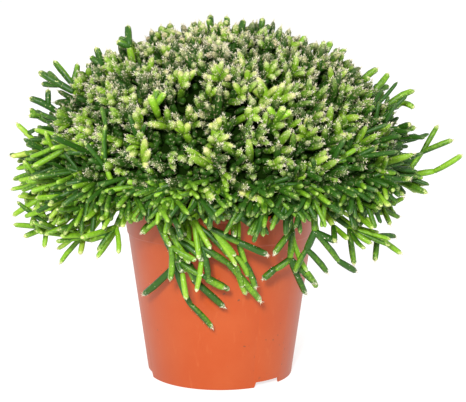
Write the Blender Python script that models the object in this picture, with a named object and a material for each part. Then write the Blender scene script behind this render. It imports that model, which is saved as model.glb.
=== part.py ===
# A potted rhipsalis burchellii: a plastic nursery pot, its peat, and the rooted stems that grow from it.
# Metres, +Z up. The origin is on the pot's axis in the plane that it stands on, and the front is -Y.

import bpy
import bmesh
import random
import numpy as np
from math import atan2, cos, pi, radians, sin
from mathutils import Matrix, Vector

MM = 0.001

# Pot
POT_SIDES = 40
POT_HEIGHT = 0.107
FOOT_RADIUS = 0.0448
BAND_HEIGHT = 0.089            # the rim band starts here
WALL_TOP_RADIUS = 0.0570       # wall just under the rim band
BAND_STEP = 0.0006             # how far the band stands proud of the wall
RIM_RADIUS = 0.0600
LIP_ROLL = 0.0010              # the lip's swell beyond the band
LIP_LOW = 0.0028               # from the top down to where the lip begins, and to its widest
LIP_WIDE = 0.0020
LIP_TURN = 0.0007
WALL = 0.0013
EDGE = 0.0006                  # chamfer on the foot's edges
SMALL_EDGE = 0.0002
BAND_RISE = 0.0005             # height of the slope under the rim band
FLOOR_RISE = 0.0030            # underside of the floor above the standing plane
FLOOR_THICK = 0.0016
CENTRE_FOOT_RADIUS = 0.0120
NOTCH_WIDTH = 0.018
NOTCH_HEIGHT = 0.0034
NOTCH_REACH = 0.006            # from the foot's outside in to the notch's end
NOTCH_AZIMUTHS = [radians(-50 + 120 * i) for i in range(3)]
SLOT_DEPTH = 0.0045            # radial width of the drain slot in the floor behind each notch
SLOT_INSET = 0.0012            # from the wall's inside to the slot
CUT_OVERRUN = 0.001            # how far the cutters run past the plastic
NOTCH_OVERRUN = 0.003

# Peat
GAP = 0.0003                   # between pieces that touch
PEAT_EDGE = 0.0965
PEAT_CROWN = 0.0990
HOLE_SIDES = 5
HOLE_ROLL = 0.3
HOLE_TOP = 0.103               # the cutters end here, above the peat
ROOT_DEPTH = 0.010
ROOT_HOLE = 0.0024
DOME_RING = 0.5                # the peat's dome has a ring at this share of its radius

# Plant form
DOME_CENTRE = 0.112            # height of the dome's centre
DOME_HALF_WIDTH = 0.120
DOME_HEIGHT = 0.106
CORE_DEPTH = 0.019             # from the dome's surface in to the crown stems' cores
CORE_THICK = 0.005
CELL_GAP = 0.0014              # half the space between neighbouring cores
CROWN_RINGS = [(0, 19, 1), (19, 48, 6), (48, 79, 11)]    # polar angles in degrees, stems in the ring
CROWN_ROOT_RINGS = [0.0, 0.016, 0.031]
CROWN_ROOT_HEIGHT = 0.098
STALK_RISE = 0.006             # a stalk stands straight this far before it leans
OUT_OF_PEAT = 0.1              # joints above this height are clear of the peat
SKIRT_ROOT_RADIUS = 0.0435
SKIRT_ROOT_HEIGHT = 0.097
SKIRT_BEND = (0.0445, 0.103)   # radius and height of a skirt stem's first joint
SKIRT_CREST = (0.066, 0.1125)  # and of its second, over the rim
CREST_STAGGER = 0.004          # every other skirt stem passes this much higher over the rim
SKIRT_FORKS = [3, 2, 2]        # segments that each segment forks into, level by level
SKIRT_FAN = 46                 # degrees between those
SKIRT_JITTER = 8               # degrees either way at random, and again for each attempt
SKIRT_WANDER = 14
SKIRT_LIFT = (-34, 12)         # degrees, and for the first level
SKIRT_FIRST_LIFT = (-46, 8)
SKIRT_LENGTH = (0.020, 0.027)
SKIRT_ATTEMPTS = 14
SKIRT_ABOVE = (0.062, -0.008)  # the skirt's space over the dome's centre: least radius, and depth
SKIRT_BELOW = (0.066, 0.126)   # below it: least radius, and the greatest, which narrows downwards
SKIRT_TAPER = 0.45
SKIRT_LOWEST = 0.072
CORE_SIDES = 9                 # round the middle core
CORE_GRID = (3, 4)             # rows and columns of corners on the others
CORE_TESTS = 6                 # places along a segment that are tested against the cores
FINGER_SPACING = 0.0242        # between whorls of crown segments
FINGER_RADIUS = 0.0026
FINGER_SPREAD = 0.0038         # from a whorl's middle to each of its three segments
FINGER_TILT = (18, 56)         # degrees from the dome's normal
FINGER_LENGTH = (0.018, 0.025)
FINGER_DROOP = 0.35            # how much the segments sag for each radian below one radian from the top
FINGER_ATTEMPTS = 10
FREE_ROOT = 0.003              # a segment's first part may touch its neighbours
CORE_SINK = 0.0012             # how deep a segment stands in its core
CORE_EXIT = 0.006              # a segment is out of its own core this far from its root
WHORL_RING = 0.66              # the middle cell's ring of whorls, as a share of its polar angle
WHORL_JITTER = 0.09            # as a share of the spacing
WHORL_SHIFT = 0.02             # radians up or down
STEEPEST = 0.3                 # least sine of a polar angle that the jitter is widened for
FRINGE_PITCH = 0.0105          # between the segments that hang from the lowest cores' edge
FRINGE_INSET = 0.035           # radians from that edge to their roots
FRINGE_TURN = 0.9              # radians sideways at most
FRINGE_DROP = (8, 52)          # degrees below the level
FRINGE_LENGTH = (0.018, 0.024)
FRINGE_ATTEMPTS = 16
SPRIG_RADIUS = 0.0020
STALK_RADIUS = 0.0017
STEM_RADIUS = 0.0016
CLEARANCE = 0.00035            # between segments of different stems
SAME_PLACE = 1e-6
TIP_LENGTH = 0.0016
ROOT_TAPER = 0.8               # a segment's radius where it leaves another, as a share of its own

# Colours (linear)
TERRACOTTA = (0.70, 0.13, 0.035)
PEAT_BROWN = (0.035, 0.022, 0.015)
CROWN_GREEN = (0.22, 0.36, 0.08)
SKIRT_GREEN = (0.13, 0.33, 0.03)
TRAILING_GREEN = (0.10, 0.30, 0.02)

# Roughness
PLASTIC_ROUGH = 0.42
PEAT_ROUGH = 0.95
CROWN_ROUGH = 0.55
SKIRT_ROUGH = 0.45
TRAILING_ROUGH = 0.4

# Stems that show one by one in the photograph. Points are millimetres. A route starts from the stem's
# root in the peat, or from a point that an earlier route of the same stem has reached.
TRAILING_STEMS = {
    "trailing_stem_1": [
        [(-21, -38, 97), (-22, -39, 105), (-28, -58, 113), (-30, -66, 105), (-26, -64, 95), (-26, -62, 80),
         (-45, -50, 60)],
        [(-26, -62, 80), (-17, -61, 56), (-5, -61, 43)]],
    "trailing_stem_2": [
        [(-30, -32, 97), (-30, -33, 103), (-38, -57, 114), (-36, -69, 108), (-30, -72, 95), (-23, -72, 84)],
        [(-36, -69, 108), (-44, -72, 101)]],
    "trailing_stem_3": [
        [(-12, -42, 97), (-12, -42, 103), (-19, -59, 112), (-21, -67, 103), (-19, -67, 84), (-15, -66, 72),
         (2, -64, 56)]],
    "trailing_stem_4": [
        [(-2, -44, 97), (-2, -44, 103), (-9, -62, 113), (-15, -74, 109), (-10, -76, 93), (-7, -74, 74),
         (2, -72, 69)],
        [(-10, -76, 93), (4, -75, 84), (23, -67, 60)]],
    "trailing_stem_5": [
        [(7, -43, 97), (7, -43, 103), (-1, -62, 117), (-13, -79, 116), (-5, -83, 105), (11, -83, 97),
         (26, -81, 90)]],
    "trailing_stem_6": [
        [(16, -40, 97), (16, -41, 103), (9, -62, 113), (10, -75, 98), (14, -75, 84), (20, -71, 69)],
        [(9, -62, 113), (4, -81, 117), (22, -87, 105)]],
    "trailing_stem_7": [
        [(24, -36, 97), (25, -37, 103), (36, -56, 113), (41, -63, 100), (40, -62, 84), (55, -56, 68)],
        [(40, -62, 84), (50, -53, 61)],
        [(40, -62, 84), (31, -64, 78), (25, -65, 73)],
        [(41, -63, 100), (31, -69, 88)]],
    "trailing_stem_8": [
        [(30, -32, 97), (31, -33, 103), (46, -51, 114), (53, -69, 118), (53, -76, 102), (65, -73, 96)],
        [(53, -76, 102), (49, -72, 91), (61, -68, 77)],
        [(53, -76, 102), (68, -66, 83), (78, -60, 76)]],
}
SKIRT_STEMS = {
    "skirt_stem_1": [
        [(-36, -24, 97), (-37, -25, 103), (-46, -52, 114), (-56, -81, 121), (-62, -86, 138), (-72, -69, 151),
         (-88, -43, 151), (-106, -23, 142), (-121, -24, 158)],
        [(-106, -23, 142), (-124, -28, 139)],
        [(-106, -23, 142), (-105, -26, 118)]],
    "skirt_stem_2": [
        [(-43, -1, 97), (-44, -3, 103), (-60, -27, 113), (-72, -35, 115), (-89, -30, 110), (-105, -22, 95),
         (-125, -18, 96)],
        [(-105, -22, 95), (-117, -30, 91)],
        [(-105, -22, 95), (-106, -26, 84)],
        [(-89, -30, 110), (-111, -32, 108)]],
    "skirt_stem_3": [
        [(-40, -17, 97), (-41, -18, 103), (-51, -44, 114), (-54, -61, 114), (-61, -56, 98), (-76, -50, 92)],
        [(-61, -56, 98), (-71, -58, 84)],
        [(-54, -61, 114), (-59, -70, 104)]],
    "skirt_stem_4": [
        [(-43, 8, 97), (-44, 6, 103), (-65, -21, 113), (-74, -38, 103), (-81, -38, 92), (-95, -36, 76)],
        [(-81, -38, 92), (-82, -48, 84)],
        [(-74, -38, 103), (-87, -29, 91), (-98, -22, 82)]],
    "skirt_stem_5": [
        [(-42, -9, 97), (-43, -10, 103), (-56, -38, 115), (-68, -52, 119), (-85, -52, 118), (-94, -42, 128),
         (-93, -40, 137)],
        [(-85, -52, 118), (-92, -50, 131)]],
    "skirt_stem_6": [
        [(-40, 16, 97), (-42, 15, 103), (-68, -6, 114), (-85, -9, 119), (-105, -4, 121), (-129, 0, 115)],
        [(-105, -4, 121), (-121, 4, 128)],
        [(-85, -9, 119), (-111, -8, 110), (-127, -7, 100)]],
    "skirt_stem_7": [
        [(43, -7, 97), (44, -8, 103), (67, -14, 114), (88, -14, 120), (112, -12, 125), (123, -9, 139),
         (132, -8, 155)],
        [(123, -9, 139), (140, -14, 147)],
        [(112, -12, 125), (129, -20, 129), (144, -24, 139)]],
    "skirt_stem_8": [
        [(41, -15, 97), (42, -16, 105), (65, -27, 113), (84, -29, 111), (97, -27, 108), (110, -23, 113)],
        [(97, -27, 108), (101, -34, 99)],
        [(97, -27, 108), (108, -20, 101)]],
    "skirt_stem_9": [
        [(37, -22, 97), (38, -23, 105), (60, -38, 113), (77, -40, 100), (94, -30, 91), (106, -20, 89)],
        [(94, -30, 91), (108, -32, 81)],
        [(94, -30, 91), (92, -38, 78)]],
    "skirt_stem_10": [
        [(34, -27, 97), (35, -28, 105), (56, -47, 114), (75, -52, 100), (78, -54, 79)],
        [(75, -52, 100), (87, -57, 92)]],
}

# Sprigs that stand out of the dome's outline in the photograph, each from a joint to a tip, in millimetres.
CROWN_SPRIGS = [
    [(-50, -37, 192), (-53, -36, 204), (-54, -30, 216)],
    [(-53, -36, 204), (-60, -37, 207)],
    [(-89, -8, 176), (-110, -6, 188)],
    [(-89, 2, 178), (-102, 4, 194)],
    [(-98, -16, 164), (-114, -19, 173)],
    [(-104, 8, 156), (-118, 10, 164)],
    [(-70, -16, 190), (-74, -18, 203)],
    [(-18, 4, 205), (-18, 2, 215)],
    [(-4, -6, 207), (-6, -2, 222)],
    [(2, 8, 208), (4, 6, 221)],
    [(12, -8, 206), (14, -4, 219)],
    [(22, 6, 205), (26, 4, 220)],
    [(30, -6, 203), (41, -6, 209)],
    [(46, 4, 199), (52, 2, 209)],
    [(59, -8, 193), (67, -8, 206)],
    [(68, 6, 189), (77, 6, 201)],
    [(83, -6, 179), (95, -8, 190)],
    [(92, 8, 172), (104, 10, 186)],
    [(99, -10, 165), (117, -12, 177)],
    [(100, -22, 155), (116, -27, 156)],
    [(-76, 40, 176), (-86, 46, 190)],
    [(60, 66, 178), (68, 74, 192)],
    [(-8, 84, 180), (-9, 96, 192)],
    [(-64, 76, 160), (-74, 88, 168)],
    [(92, 52, 150), (106, 60, 156)],
    [(-34, -84, 168), (-38, -95, 180)],
    [(30, -88, 164), (34, -100, 174)],
]

# Skirt stems that nothing sets one by one: they fill the sides and the back.
WILD_SKIRT_AZIMUTHS = [4 + 16 * i for i in range(10)]
WILD_NAMES = ["skirt_stem_%d" % (len(SKIRT_STEMS) + 1 + i) for i in range(len(WILD_SKIRT_AZIMUTHS))]
WILD_SKIRT_SEED = 41
CROWN_SEED = 7
FRINGE_SEED = 19


def polar_point(polar, azimuth, depth):
    """A point below the dome's surface, from its polar angle and azimuth about the dome's centre."""
    across = (DOME_HALF_WIDTH - depth) * sin(polar)
    up = (DOME_HEIGHT - depth) * cos(polar)
    return Vector((across * cos(azimuth), across * sin(azimuth), DOME_CENTRE + up))


def outward(polar, azimuth):
    """The dome's outward normal there."""
    across = sin(polar) / DOME_HALF_WIDTH
    up = cos(polar) / DOME_HEIGHT
    return Vector((across * cos(azimuth), across * sin(azimuth), up)).normalized()


def dome_level(point, depth):
    """1 on the dome's surface sunk by depth, less inside it and more outside."""
    across = np.hypot(point[0], point[1]) / (DOME_HALF_WIDTH - depth)
    up = (point[2] - DOME_CENTRE) / (DOME_HEIGHT - depth)
    return float(np.hypot(across, up))


def distances(start, end, starts, ends):
    """Shortest distances from one straight segment to each of many."""
    along, others = end - start, ends - starts
    offset = start - starts
    a = along @ along
    b = others @ along
    c = offset @ along
    e = (others * others).sum(axis=1)
    f = (others * offset).sum(axis=1)
    spread = a * e - b * b
    s = np.where(spread > 1e-16, (b * f - c * e) / np.maximum(spread, 1e-16), 0).clip(0, 1)
    t = ((b * s + f) / e).clip(0, 1)
    s = ((b * t - c) / a).clip(0, 1)
    nearest = (start + s[:, None] * along) - (starts + t[:, None] * others)
    return np.sqrt((nearest ** 2).sum(axis=1))


class Plant:
    """The segments of every stem, each a capsule that keeps clear of the other stems."""

    def __init__(self):
        self.owners = []
        self.segments = []          # start, end, radius, parent's index or None
        self.starts = np.zeros((0, 3))
        self.ends = np.zeros((0, 3))
        self.radii = np.zeros(0)
        self.owner_ids = np.zeros(0, dtype=int)

    def clear(self, owner, start, end, radius, parent=None):
        """Whether a segment fits between the segments that are already there."""
        if not len(self.radii):
            return True
        room = distances(np.array(start), np.array(end), self.starts, self.ends) - self.radii - radius
        own = np.zeros(len(room), dtype=bool)
        if owner in self.owners:
            own = self.owner_ids == self.owners.index(owner)
        joined = own & (np.linalg.norm(self.starts - np.array(start), axis=1) < SAME_PLACE)
        if parent is not None:
            joined[parent] = True
        return bool(np.all(room[~own] >= CLEARANCE) and np.all(room[own & ~joined] >= 0))

    def add(self, owner, start, end, radius, parent=None):
        """Keep a segment, and return its index."""
        if owner not in self.owners:
            self.owners.append(owner)
        self.segments.append((owner, Vector(start), Vector(end), radius, parent))
        self.starts = np.vstack([self.starts, np.array(start)])
        self.ends = np.vstack([self.ends, np.array(end)])
        self.radii = np.append(self.radii, radius)
        self.owner_ids = np.append(self.owner_ids, self.owners.index(owner))
        return len(self.segments) - 1


def outside_cores(start, end, radius):
    """Whether a segment stays off the crown's cores, passing over or under them."""
    lowest_core = radians(CROWN_RINGS[-1][1])
    for step in range(CORE_TESTS + 1):
        point = start.lerp(end, step / CORE_TESTS)
        over = dome_level(point, CORE_DEPTH - radius - 2 * GAP) >= 1
        inside = dome_level(point, CORE_DEPTH + CORE_THICK + radius + 2 * GAP) <= 1
        floor = polar_point(lowest_core, 0, CORE_DEPTH + CORE_THICK)
        slope = (floor.z - DOME_CENTRE) / floor.x
        below = point.z < DOME_CENTRE + slope * np.hypot(point.x, point.y) - radius - GAP
        if not (over or inside or below):
            return False
    return True


def follow_routes(plant, name, routes):
    """Add a stem whose joints are listed, each new route starting where an earlier one has been."""
    joints = {}
    for route in routes:
        points = [Vector(p) * MM for p in route]
        parent = joints.get(route[0])
        for index in range(1, len(points)):
            radius = STALK_RADIUS if points[index].z > OUT_OF_PEAT and index < 3 else STEM_RADIUS
            parent = plant.add(name, points[index - 1], points[index], radius, parent)
            joints[route[index]] = parent


def turned(direction, side_turn, lift):
    """A direction turned sideways about the vertical and raised, both in degrees."""
    flat = Matrix.Rotation(radians(side_turn), 3, "Z") @ direction
    axis = flat.cross(Vector((0, 0, 1))).normalized()
    return Matrix.Rotation(radians(lift), 3, axis) @ flat


def in_skirt(point):
    """Whether a tip lies in the space that the skirt fills."""
    across = np.hypot(point.x, point.y)
    if point.z > DOME_CENTRE:
        return across > SKIRT_ABOVE[0] and dome_level(point, SKIRT_ABOVE[1]) < 1
    widest = SKIRT_BELOW[1] - SKIRT_TAPER * (DOME_CENTRE - point.z)
    return SKIRT_BELOW[0] < across < widest and point.z > SKIRT_LOWEST


def grow_wild_skirt(plant, azimuths):
    """Fill the rest of the skirt by rule: each stem crosses the rim, then forks again and again."""
    draw = random.Random(WILD_SKIRT_SEED)
    tips = []
    for number, (name, degrees) in enumerate(zip(WILD_NAMES, azimuths)):
        azimuth = radians(degrees)
        out = Vector((cos(azimuth), sin(azimuth), 0))
        root = out * SKIRT_ROOT_RADIUS + Vector((0, 0, SKIRT_ROOT_HEIGHT))
        bend = out * SKIRT_BEND[0] + Vector((0, 0, SKIRT_BEND[1]))
        over = out * SKIRT_CREST[0] + Vector((0, 0, SKIRT_CREST[1] + CREST_STAGGER * (number % 2)))
        parent = plant.add(name, root, bend, STALK_RADIUS)
        parent = plant.add(name, bend, over, STALK_RADIUS, parent)
        tips.append((name, parent, (over - bend).normalized(), 0))
    while tips:
        name, parent, direction, level = tips.pop(0)
        start = plant.segments[parent][2]
        wanted = SKIRT_FORKS[level]
        turns = [draw.uniform(-SKIRT_JITTER, SKIRT_JITTER) + (fork - (wanted - 1) / 2) * SKIRT_FAN
                 for fork in range(wanted)]
        for turn in turns:
            for attempt in range(SKIRT_ATTEMPTS):
                lift = draw.uniform(*(SKIRT_LIFT if level else SKIRT_FIRST_LIFT))
                heading = turned(direction, turn + draw.uniform(-SKIRT_WANDER, SKIRT_WANDER), lift)
                end = start + heading * draw.uniform(*SKIRT_LENGTH)
                if in_skirt(end) and outside_cores(start, end, STEM_RADIUS) \
                        and plant.clear(name, start, end, STEM_RADIUS, parent):
                    child = plant.add(name, start, end, STEM_RADIUS, parent)
                    if level < len(SKIRT_FORKS) - 1:
                        tips.append((name, child, heading, level + 1))
                    break


class Cell:
    """One crown stem's share of the dome: between two polar angles and two azimuths."""

    def __init__(self, name, ring, number):
        low, high, count = CROWN_RINGS[ring]
        self.name = name
        self.low, self.high = radians(low), radians(high)
        self.width = 2 * pi / count
        self.whole = count == 1
        self.lowest = ring == len(CROWN_RINGS) - 1
        self.azimuth = 0 if self.whole else self.width * (number + 0.5 * (ring % 2))
        middle = 0 if self.whole else (self.low + self.high) / 2
        self.centre = polar_point(middle, self.azimuth, CORE_DEPTH + CORE_THICK / 2)
        out = Vector((cos(self.azimuth), sin(self.azimuth), 0))
        self.root = out * CROWN_ROOT_RINGS[ring] + Vector((0, 0, CROWN_ROOT_HEIGHT))


def crown_cells():
    """The crown's cells, ring by ring from the top."""
    cells = []
    for ring, (low, high, count) in enumerate(CROWN_RINGS):
        for number in range(count):
            cells.append(Cell("crown_stem_%d" % (len(cells) + 1), ring, number))
    return cells


def whorl_places(cell, draw):
    """Jittered places over a cell, a spacing apart, as polar angles and azimuths."""
    rows = max(1, round((cell.high - cell.low) * DOME_HALF_WIDTH / FINGER_SPACING))
    places = [(0.0, 0.0)] if cell.whole else []
    for row in range(rows):
        share = (row + 0.5) / rows
        polar = cell.high * WHORL_RING if cell.whole else cell.low + (cell.high - cell.low) * share
        round_length = DOME_HALF_WIDTH * sin(polar) * cell.width
        columns = max(1, round(round_length / FINGER_SPACING))
        for column in range(columns):
            azimuth = cell.azimuth + cell.width * ((column + 0.5) / columns - 0.5)
            jitter = WHORL_JITTER * FINGER_SPACING / (DOME_HALF_WIDTH * max(sin(polar), STEEPEST))
            shift = draw.uniform(-WHORL_SHIFT, WHORL_SHIFT)
            places.append((polar + shift, azimuth + draw.uniform(-1, 1) * jitter))
    return places


def cell_under(cells, point):
    """The cell whose share of the dome a point lies over, with the point's polar angle and azimuth."""
    up = (point.z - DOME_CENTRE) / (DOME_HEIGHT - CORE_DEPTH)
    polar = atan2(np.hypot(point.x, point.y) / (DOME_HALF_WIDTH - CORE_DEPTH), up)
    azimuth = atan2(point.y, point.x)
    for cell in cells:
        turn = (azimuth - cell.azimuth + pi) % (2 * pi) - pi
        if cell.low <= polar < cell.high and abs(turn) <= cell.width / 2:
            return cell, polar, azimuth
    raise ValueError("no cell lies under %s" % point)


def grow_stalks(plant, cells):
    """Each crown stem's bare stalk, from the peat up to its core."""
    for cell in cells:
        bend = cell.root + Vector((0, 0, STALK_RISE))
        parent = plant.add(cell.name, cell.root, bend, STALK_RADIUS)
        plant.add(cell.name, bend, cell.centre, STALK_RADIUS, parent)


def grow_sprigs(plant, cells):
    """The sprigs that are set one by one, each rooted in the core beneath its first joint."""
    joints = {}
    for route in CROWN_SPRIGS:
        points = [Vector(p) * MM for p in route]
        if route[0] in joints:
            name, parent = joints[route[0]]
        else:
            cell, polar, azimuth = cell_under(cells, points[0])
            name = cell.name
            root = polar_point(polar, azimuth, CORE_DEPTH + CORE_SINK)
            parent = plant.add(name, root, points[0], SPRIG_RADIUS)
        for index in range(1, len(points)):
            parent = plant.add(name, points[index - 1], points[index], SPRIG_RADIUS, parent)
            joints[route[index]] = (name, parent)


def grow_fringe(plant, cells):
    """Segments that hang outwards from the lowest cores' edge and close the view under the dome."""
    draw = random.Random(FRINGE_SEED)
    for cell in cells:
        if not cell.lowest:
            continue
        polar = cell.high - FRINGE_INSET
        count = int(DOME_HALF_WIDTH * cell.width / FRINGE_PITCH)
        for number in range(count):
            azimuth = cell.azimuth + cell.width * ((number + 0.5) / count - 0.5)
            root = polar_point(polar, azimuth, CORE_DEPTH + CORE_SINK)
            for attempt in range(FRINGE_ATTEMPTS):
                turn = azimuth + draw.uniform(-FRINGE_TURN, FRINGE_TURN)
                drop = radians(draw.uniform(*FRINGE_DROP))
                heading = Vector((cos(turn) * cos(drop), sin(turn) * cos(drop), -sin(drop)))
                end = root + heading * draw.uniform(*FRINGE_LENGTH)
                if plant.clear(cell.name, root + heading * FREE_ROOT, end, FINGER_RADIUS) \
                        and outside_cores(root + heading * CORE_EXIT, end, FINGER_RADIUS):
                    plant.add(cell.name, root, end, FINGER_RADIUS)
                    break


def grow_crown(plant, cells):
    """Stand three segments at each place of every cell, spread apart and clear of all others."""
    draw = random.Random(CROWN_SEED)
    for cell in cells:
        for polar, azimuth in whorl_places(cell, draw):
            normal = outward(polar, azimuth)
            side = normal.cross(Vector((0, 0, 1)) if polar > 0.2 else Vector((1, 0, 0))).normalized()
            first_turn = draw.uniform(0, 2 * pi)
            for finger in range(3):
                for attempt in range(FINGER_ATTEMPTS):
                    turn = first_turn + 2 * pi * (finger + draw.uniform(-0.12, 0.12)) / 3
                    lean = Matrix.Rotation(turn, 3, normal) @ side
                    tilt = radians(draw.uniform(*FINGER_TILT))
                    heading = normal * cos(tilt) + lean * sin(tilt)
                    heading.z -= FINGER_DROOP * max(0.0, polar - 1.0)
                    heading.normalize()
                    root = polar_point(polar, azimuth, CORE_DEPTH + CORE_SINK) + lean * FINGER_SPREAD
                    end = root + heading * draw.uniform(*FINGER_LENGTH)
                    if plant.clear(cell.name, root + heading * FREE_ROOT, end, FINGER_RADIUS) \
                            and outside_cores(root + heading * CORE_EXIT, end, FINGER_RADIUS):
                        plant.add(cell.name, root, end, FINGER_RADIUS)
                        break


def material(name, colour, roughness):
    """A Principled material of one colour."""
    made = bpy.data.materials.new(name)
    made.use_nodes = True
    shader = made.node_tree.nodes["Principled BSDF"]
    shader.inputs["Base Color"].default_value = (*colour, 1)
    shader.inputs["Roughness"].default_value = roughness
    shader.inputs["Metallic"].default_value = 0
    made.diffuse_color = (*colour, 1)
    return made


def new_object(name, mesh_data, finish=None):
    """A mesh object in the scene, from a bmesh that it uses up."""
    mesh = bpy.data.meshes.new(name)
    mesh_data.to_mesh(mesh)
    mesh_data.free()
    made = bpy.data.objects.new(name, mesh)
    bpy.context.scene.collection.objects.link(made)
    if finish:
        mesh.materials.append(finish)
    return made


def lathe(name, profile, sides, finish=None):
    """A closed outline of radius and height turned about the Z axis."""
    bm = bmesh.new()
    points = [bm.verts.new((radius, 0, height)) for radius, height in profile]
    edges = [bm.edges.new((points[i - 1], points[i])) for i in range(1, len(points))]
    if profile[0][0] > 0:
        edges.append(bm.edges.new((points[-1], points[0])))
    bmesh.ops.spin(bm, geom=points + edges, cent=(0, 0, 0), axis=(0, 0, 1), angle=2 * pi, steps=sides,
                   use_merge=True)
    bmesh.ops.remove_doubles(bm, verts=bm.verts, dist=SAME_PLACE)
    bmesh.ops.recalc_face_normals(bm, faces=bm.faces)
    made = new_object(name, bm, finish)
    made.data.shade_smooth()
    made.data.set_sharp_from_angle(angle=radians(30))
    return made


def wall_radius(height):
    """Outer radius of the wall below the rim band."""
    return FOOT_RADIUS + (WALL_TOP_RADIUS - FOOT_RADIUS) * height / BAND_HEIGHT


def inner_radius(height):
    """Inner radius of the wall, which runs straight up to the rim."""
    foot = FOOT_RADIUS - WALL
    return foot + (RIM_RADIUS - WALL - foot) * height / POT_HEIGHT


def cut_with(piece, cutters, name):
    """Subtract a collection of cutters that stay in the scene, hidden."""
    group = bpy.data.collections.new(name)
    bpy.context.scene.collection.children.link(group)
    for cutter in cutters:
        bpy.context.scene.collection.objects.unlink(cutter)
        group.objects.link(cutter)
        cutter.hide_render = True
        cutter.display_type = "WIRE"
    cut = piece.modifiers.new(name, "BOOLEAN")
    cut.operation = "DIFFERENCE"
    cut.operand_type = "COLLECTION"
    cut.collection = group
    return cut


def box(name, low, high, azimuth):
    """A box between two corners, turned about the Z axis."""
    bm = bmesh.new()
    size = [h - l for l, h in zip(low, high)]
    middle = Vector([(h + l) / 2 for l, h in zip(low, high)])
    place = Matrix.Rotation(azimuth, 4, "Z") @ Matrix.Translation(middle) @ Matrix.Diagonal((*size, 1))
    bmesh.ops.create_cube(bm, size=1, matrix=place)
    return new_object(name, bm)


def make_pot():
    """The nursery pot, with a notch and a drain slot in three places round its foot."""
    inner_floor = FLOOR_RISE + FLOOR_THICK
    profile = [
        (0, 0), (CENTRE_FOOT_RADIUS - EDGE, 0), (CENTRE_FOOT_RADIUS, EDGE), (CENTRE_FOOT_RADIUS, FLOOR_RISE),
        (inner_radius(FLOOR_RISE) - SMALL_EDGE, FLOOR_RISE), (FOOT_RADIUS - WALL - SMALL_EDGE, EDGE),
        (FOOT_RADIUS - WALL + EDGE, 0), (FOOT_RADIUS - EDGE, 0), (FOOT_RADIUS, EDGE),
        (wall_radius(BAND_HEIGHT), BAND_HEIGHT), (WALL_TOP_RADIUS + BAND_STEP, BAND_HEIGHT + BAND_RISE),
        (RIM_RADIUS, POT_HEIGHT - LIP_LOW), (RIM_RADIUS + LIP_ROLL, POT_HEIGHT - LIP_WIDE),
        (RIM_RADIUS + LIP_ROLL, POT_HEIGHT - LIP_TURN), (RIM_RADIUS + LIP_ROLL / 2, POT_HEIGHT),
        (RIM_RADIUS - WALL + SMALL_EDGE, POT_HEIGHT), (RIM_RADIUS - WALL, POT_HEIGHT - EDGE),
        (inner_radius(inner_floor), inner_floor), (0, inner_floor)]
    pot = lathe("pot", profile, POT_SIDES, material("terracotta plastic", TERRACOTTA, PLASTIC_ROUGH))
    half = NOTCH_WIDTH / 2
    slot_half = half - CUT_OVERRUN
    slot_out = FOOT_RADIUS - WALL - SLOT_INSET
    cutters = []
    for number, azimuth in enumerate(NOTCH_AZIMUTHS):
        cutters.append(box("notch_cutter_%d" % number, (FOOT_RADIUS - NOTCH_REACH, -half, -CUT_OVERRUN),
                           (FOOT_RADIUS + NOTCH_OVERRUN, half, NOTCH_HEIGHT), azimuth))
        cutters.append(box("slot_cutter_%d" % number, (slot_out - SLOT_DEPTH, -slot_half, CUT_OVERRUN),
                           (slot_out, slot_half, inner_floor + CUT_OVERRUN), azimuth))
    cut_with(pot, cutters, "drain cuts")
    return pot


def peat_height(radius):
    """Height of the peat's low dome."""
    edge = inner_radius(PEAT_EDGE) - GAP
    return PEAT_CROWN - (PEAT_CROWN - PEAT_EDGE) * (radius / edge) ** 2


def make_soil(plant):
    """The peat, filling the pot up to just under its rim, with a hole for every stem."""
    floor = FLOOR_RISE + FLOOR_THICK + GAP
    gap = GAP / cos(pi / POT_SIDES)
    edge = inner_radius(PEAT_EDGE) - gap
    ring = edge * DOME_RING
    profile = [(0, floor), (inner_radius(floor) - gap, floor), (edge, PEAT_EDGE), (ring, peat_height(ring)),
               (0, PEAT_CROWN)]
    soil = lathe("soil", profile, POT_SIDES, material("peat", PEAT_BROWN, PEAT_ROUGH))
    cutters = []
    for index, (owner, start, end, radius, parent) in enumerate(plant.segments):
        if parent is not None or start.z > OUT_OF_PEAT:
            continue
        bm = bmesh.new()
        bottom = start.z - ROOT_DEPTH - GAP
        middle = Matrix.Translation((start.x, start.y, (bottom + HOLE_TOP) / 2))
        bmesh.ops.create_cone(bm, cap_ends=True, segments=HOLE_SIDES, radius1=ROOT_HOLE, radius2=ROOT_HOLE,
                              depth=HOLE_TOP - bottom, matrix=middle @ Matrix.Rotation(HOLE_ROLL, 4, "Z"))
        cutters.append(new_object("root_cutter_%d" % index, bm))
    cut_with(soil, cutters, "root holes")
    return soil


def tube_mesh(points, radii, sides, roll, tip):
    """A tube of few sides through the points, mitred at each joint. A tip above zero ends it in a point."""
    bm = bmesh.new()
    rings = []
    across = None
    for index, (point, radius) in enumerate(zip(points, radii)):
        before = (point - points[max(index - 1, 0)]).normalized()
        after = (points[min(index + 1, len(points) - 1)] - point).normalized()
        axis = (before + after).normalized()
        across = across or Matrix.Rotation(roll, 3, axis) @ axis.orthogonal()
        across = (across - axis * across.dot(axis)).normalized()
        side = axis.cross(across)
        turns = [2 * pi * i / sides for i in range(sides)]
        rings.append([bm.verts.new(point + (across * cos(t) + side * sin(t)) * radius) for t in turns])
    for low, high in zip(rings, rings[1:]):
        for i in range(sides):
            bm.faces.new((low[i], low[(i + 1) % sides], high[(i + 1) % sides], high[i]))
    bm.faces.new(rings[0][::-1])
    cap = bm.faces.new(rings[-1])
    if tip > 0:
        point = bmesh.ops.poke(bm, faces=[cap])["verts"][0]
        point.co = points[-1] + (points[-1] - points[-2]).normalized() * tip
    return bm


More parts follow.
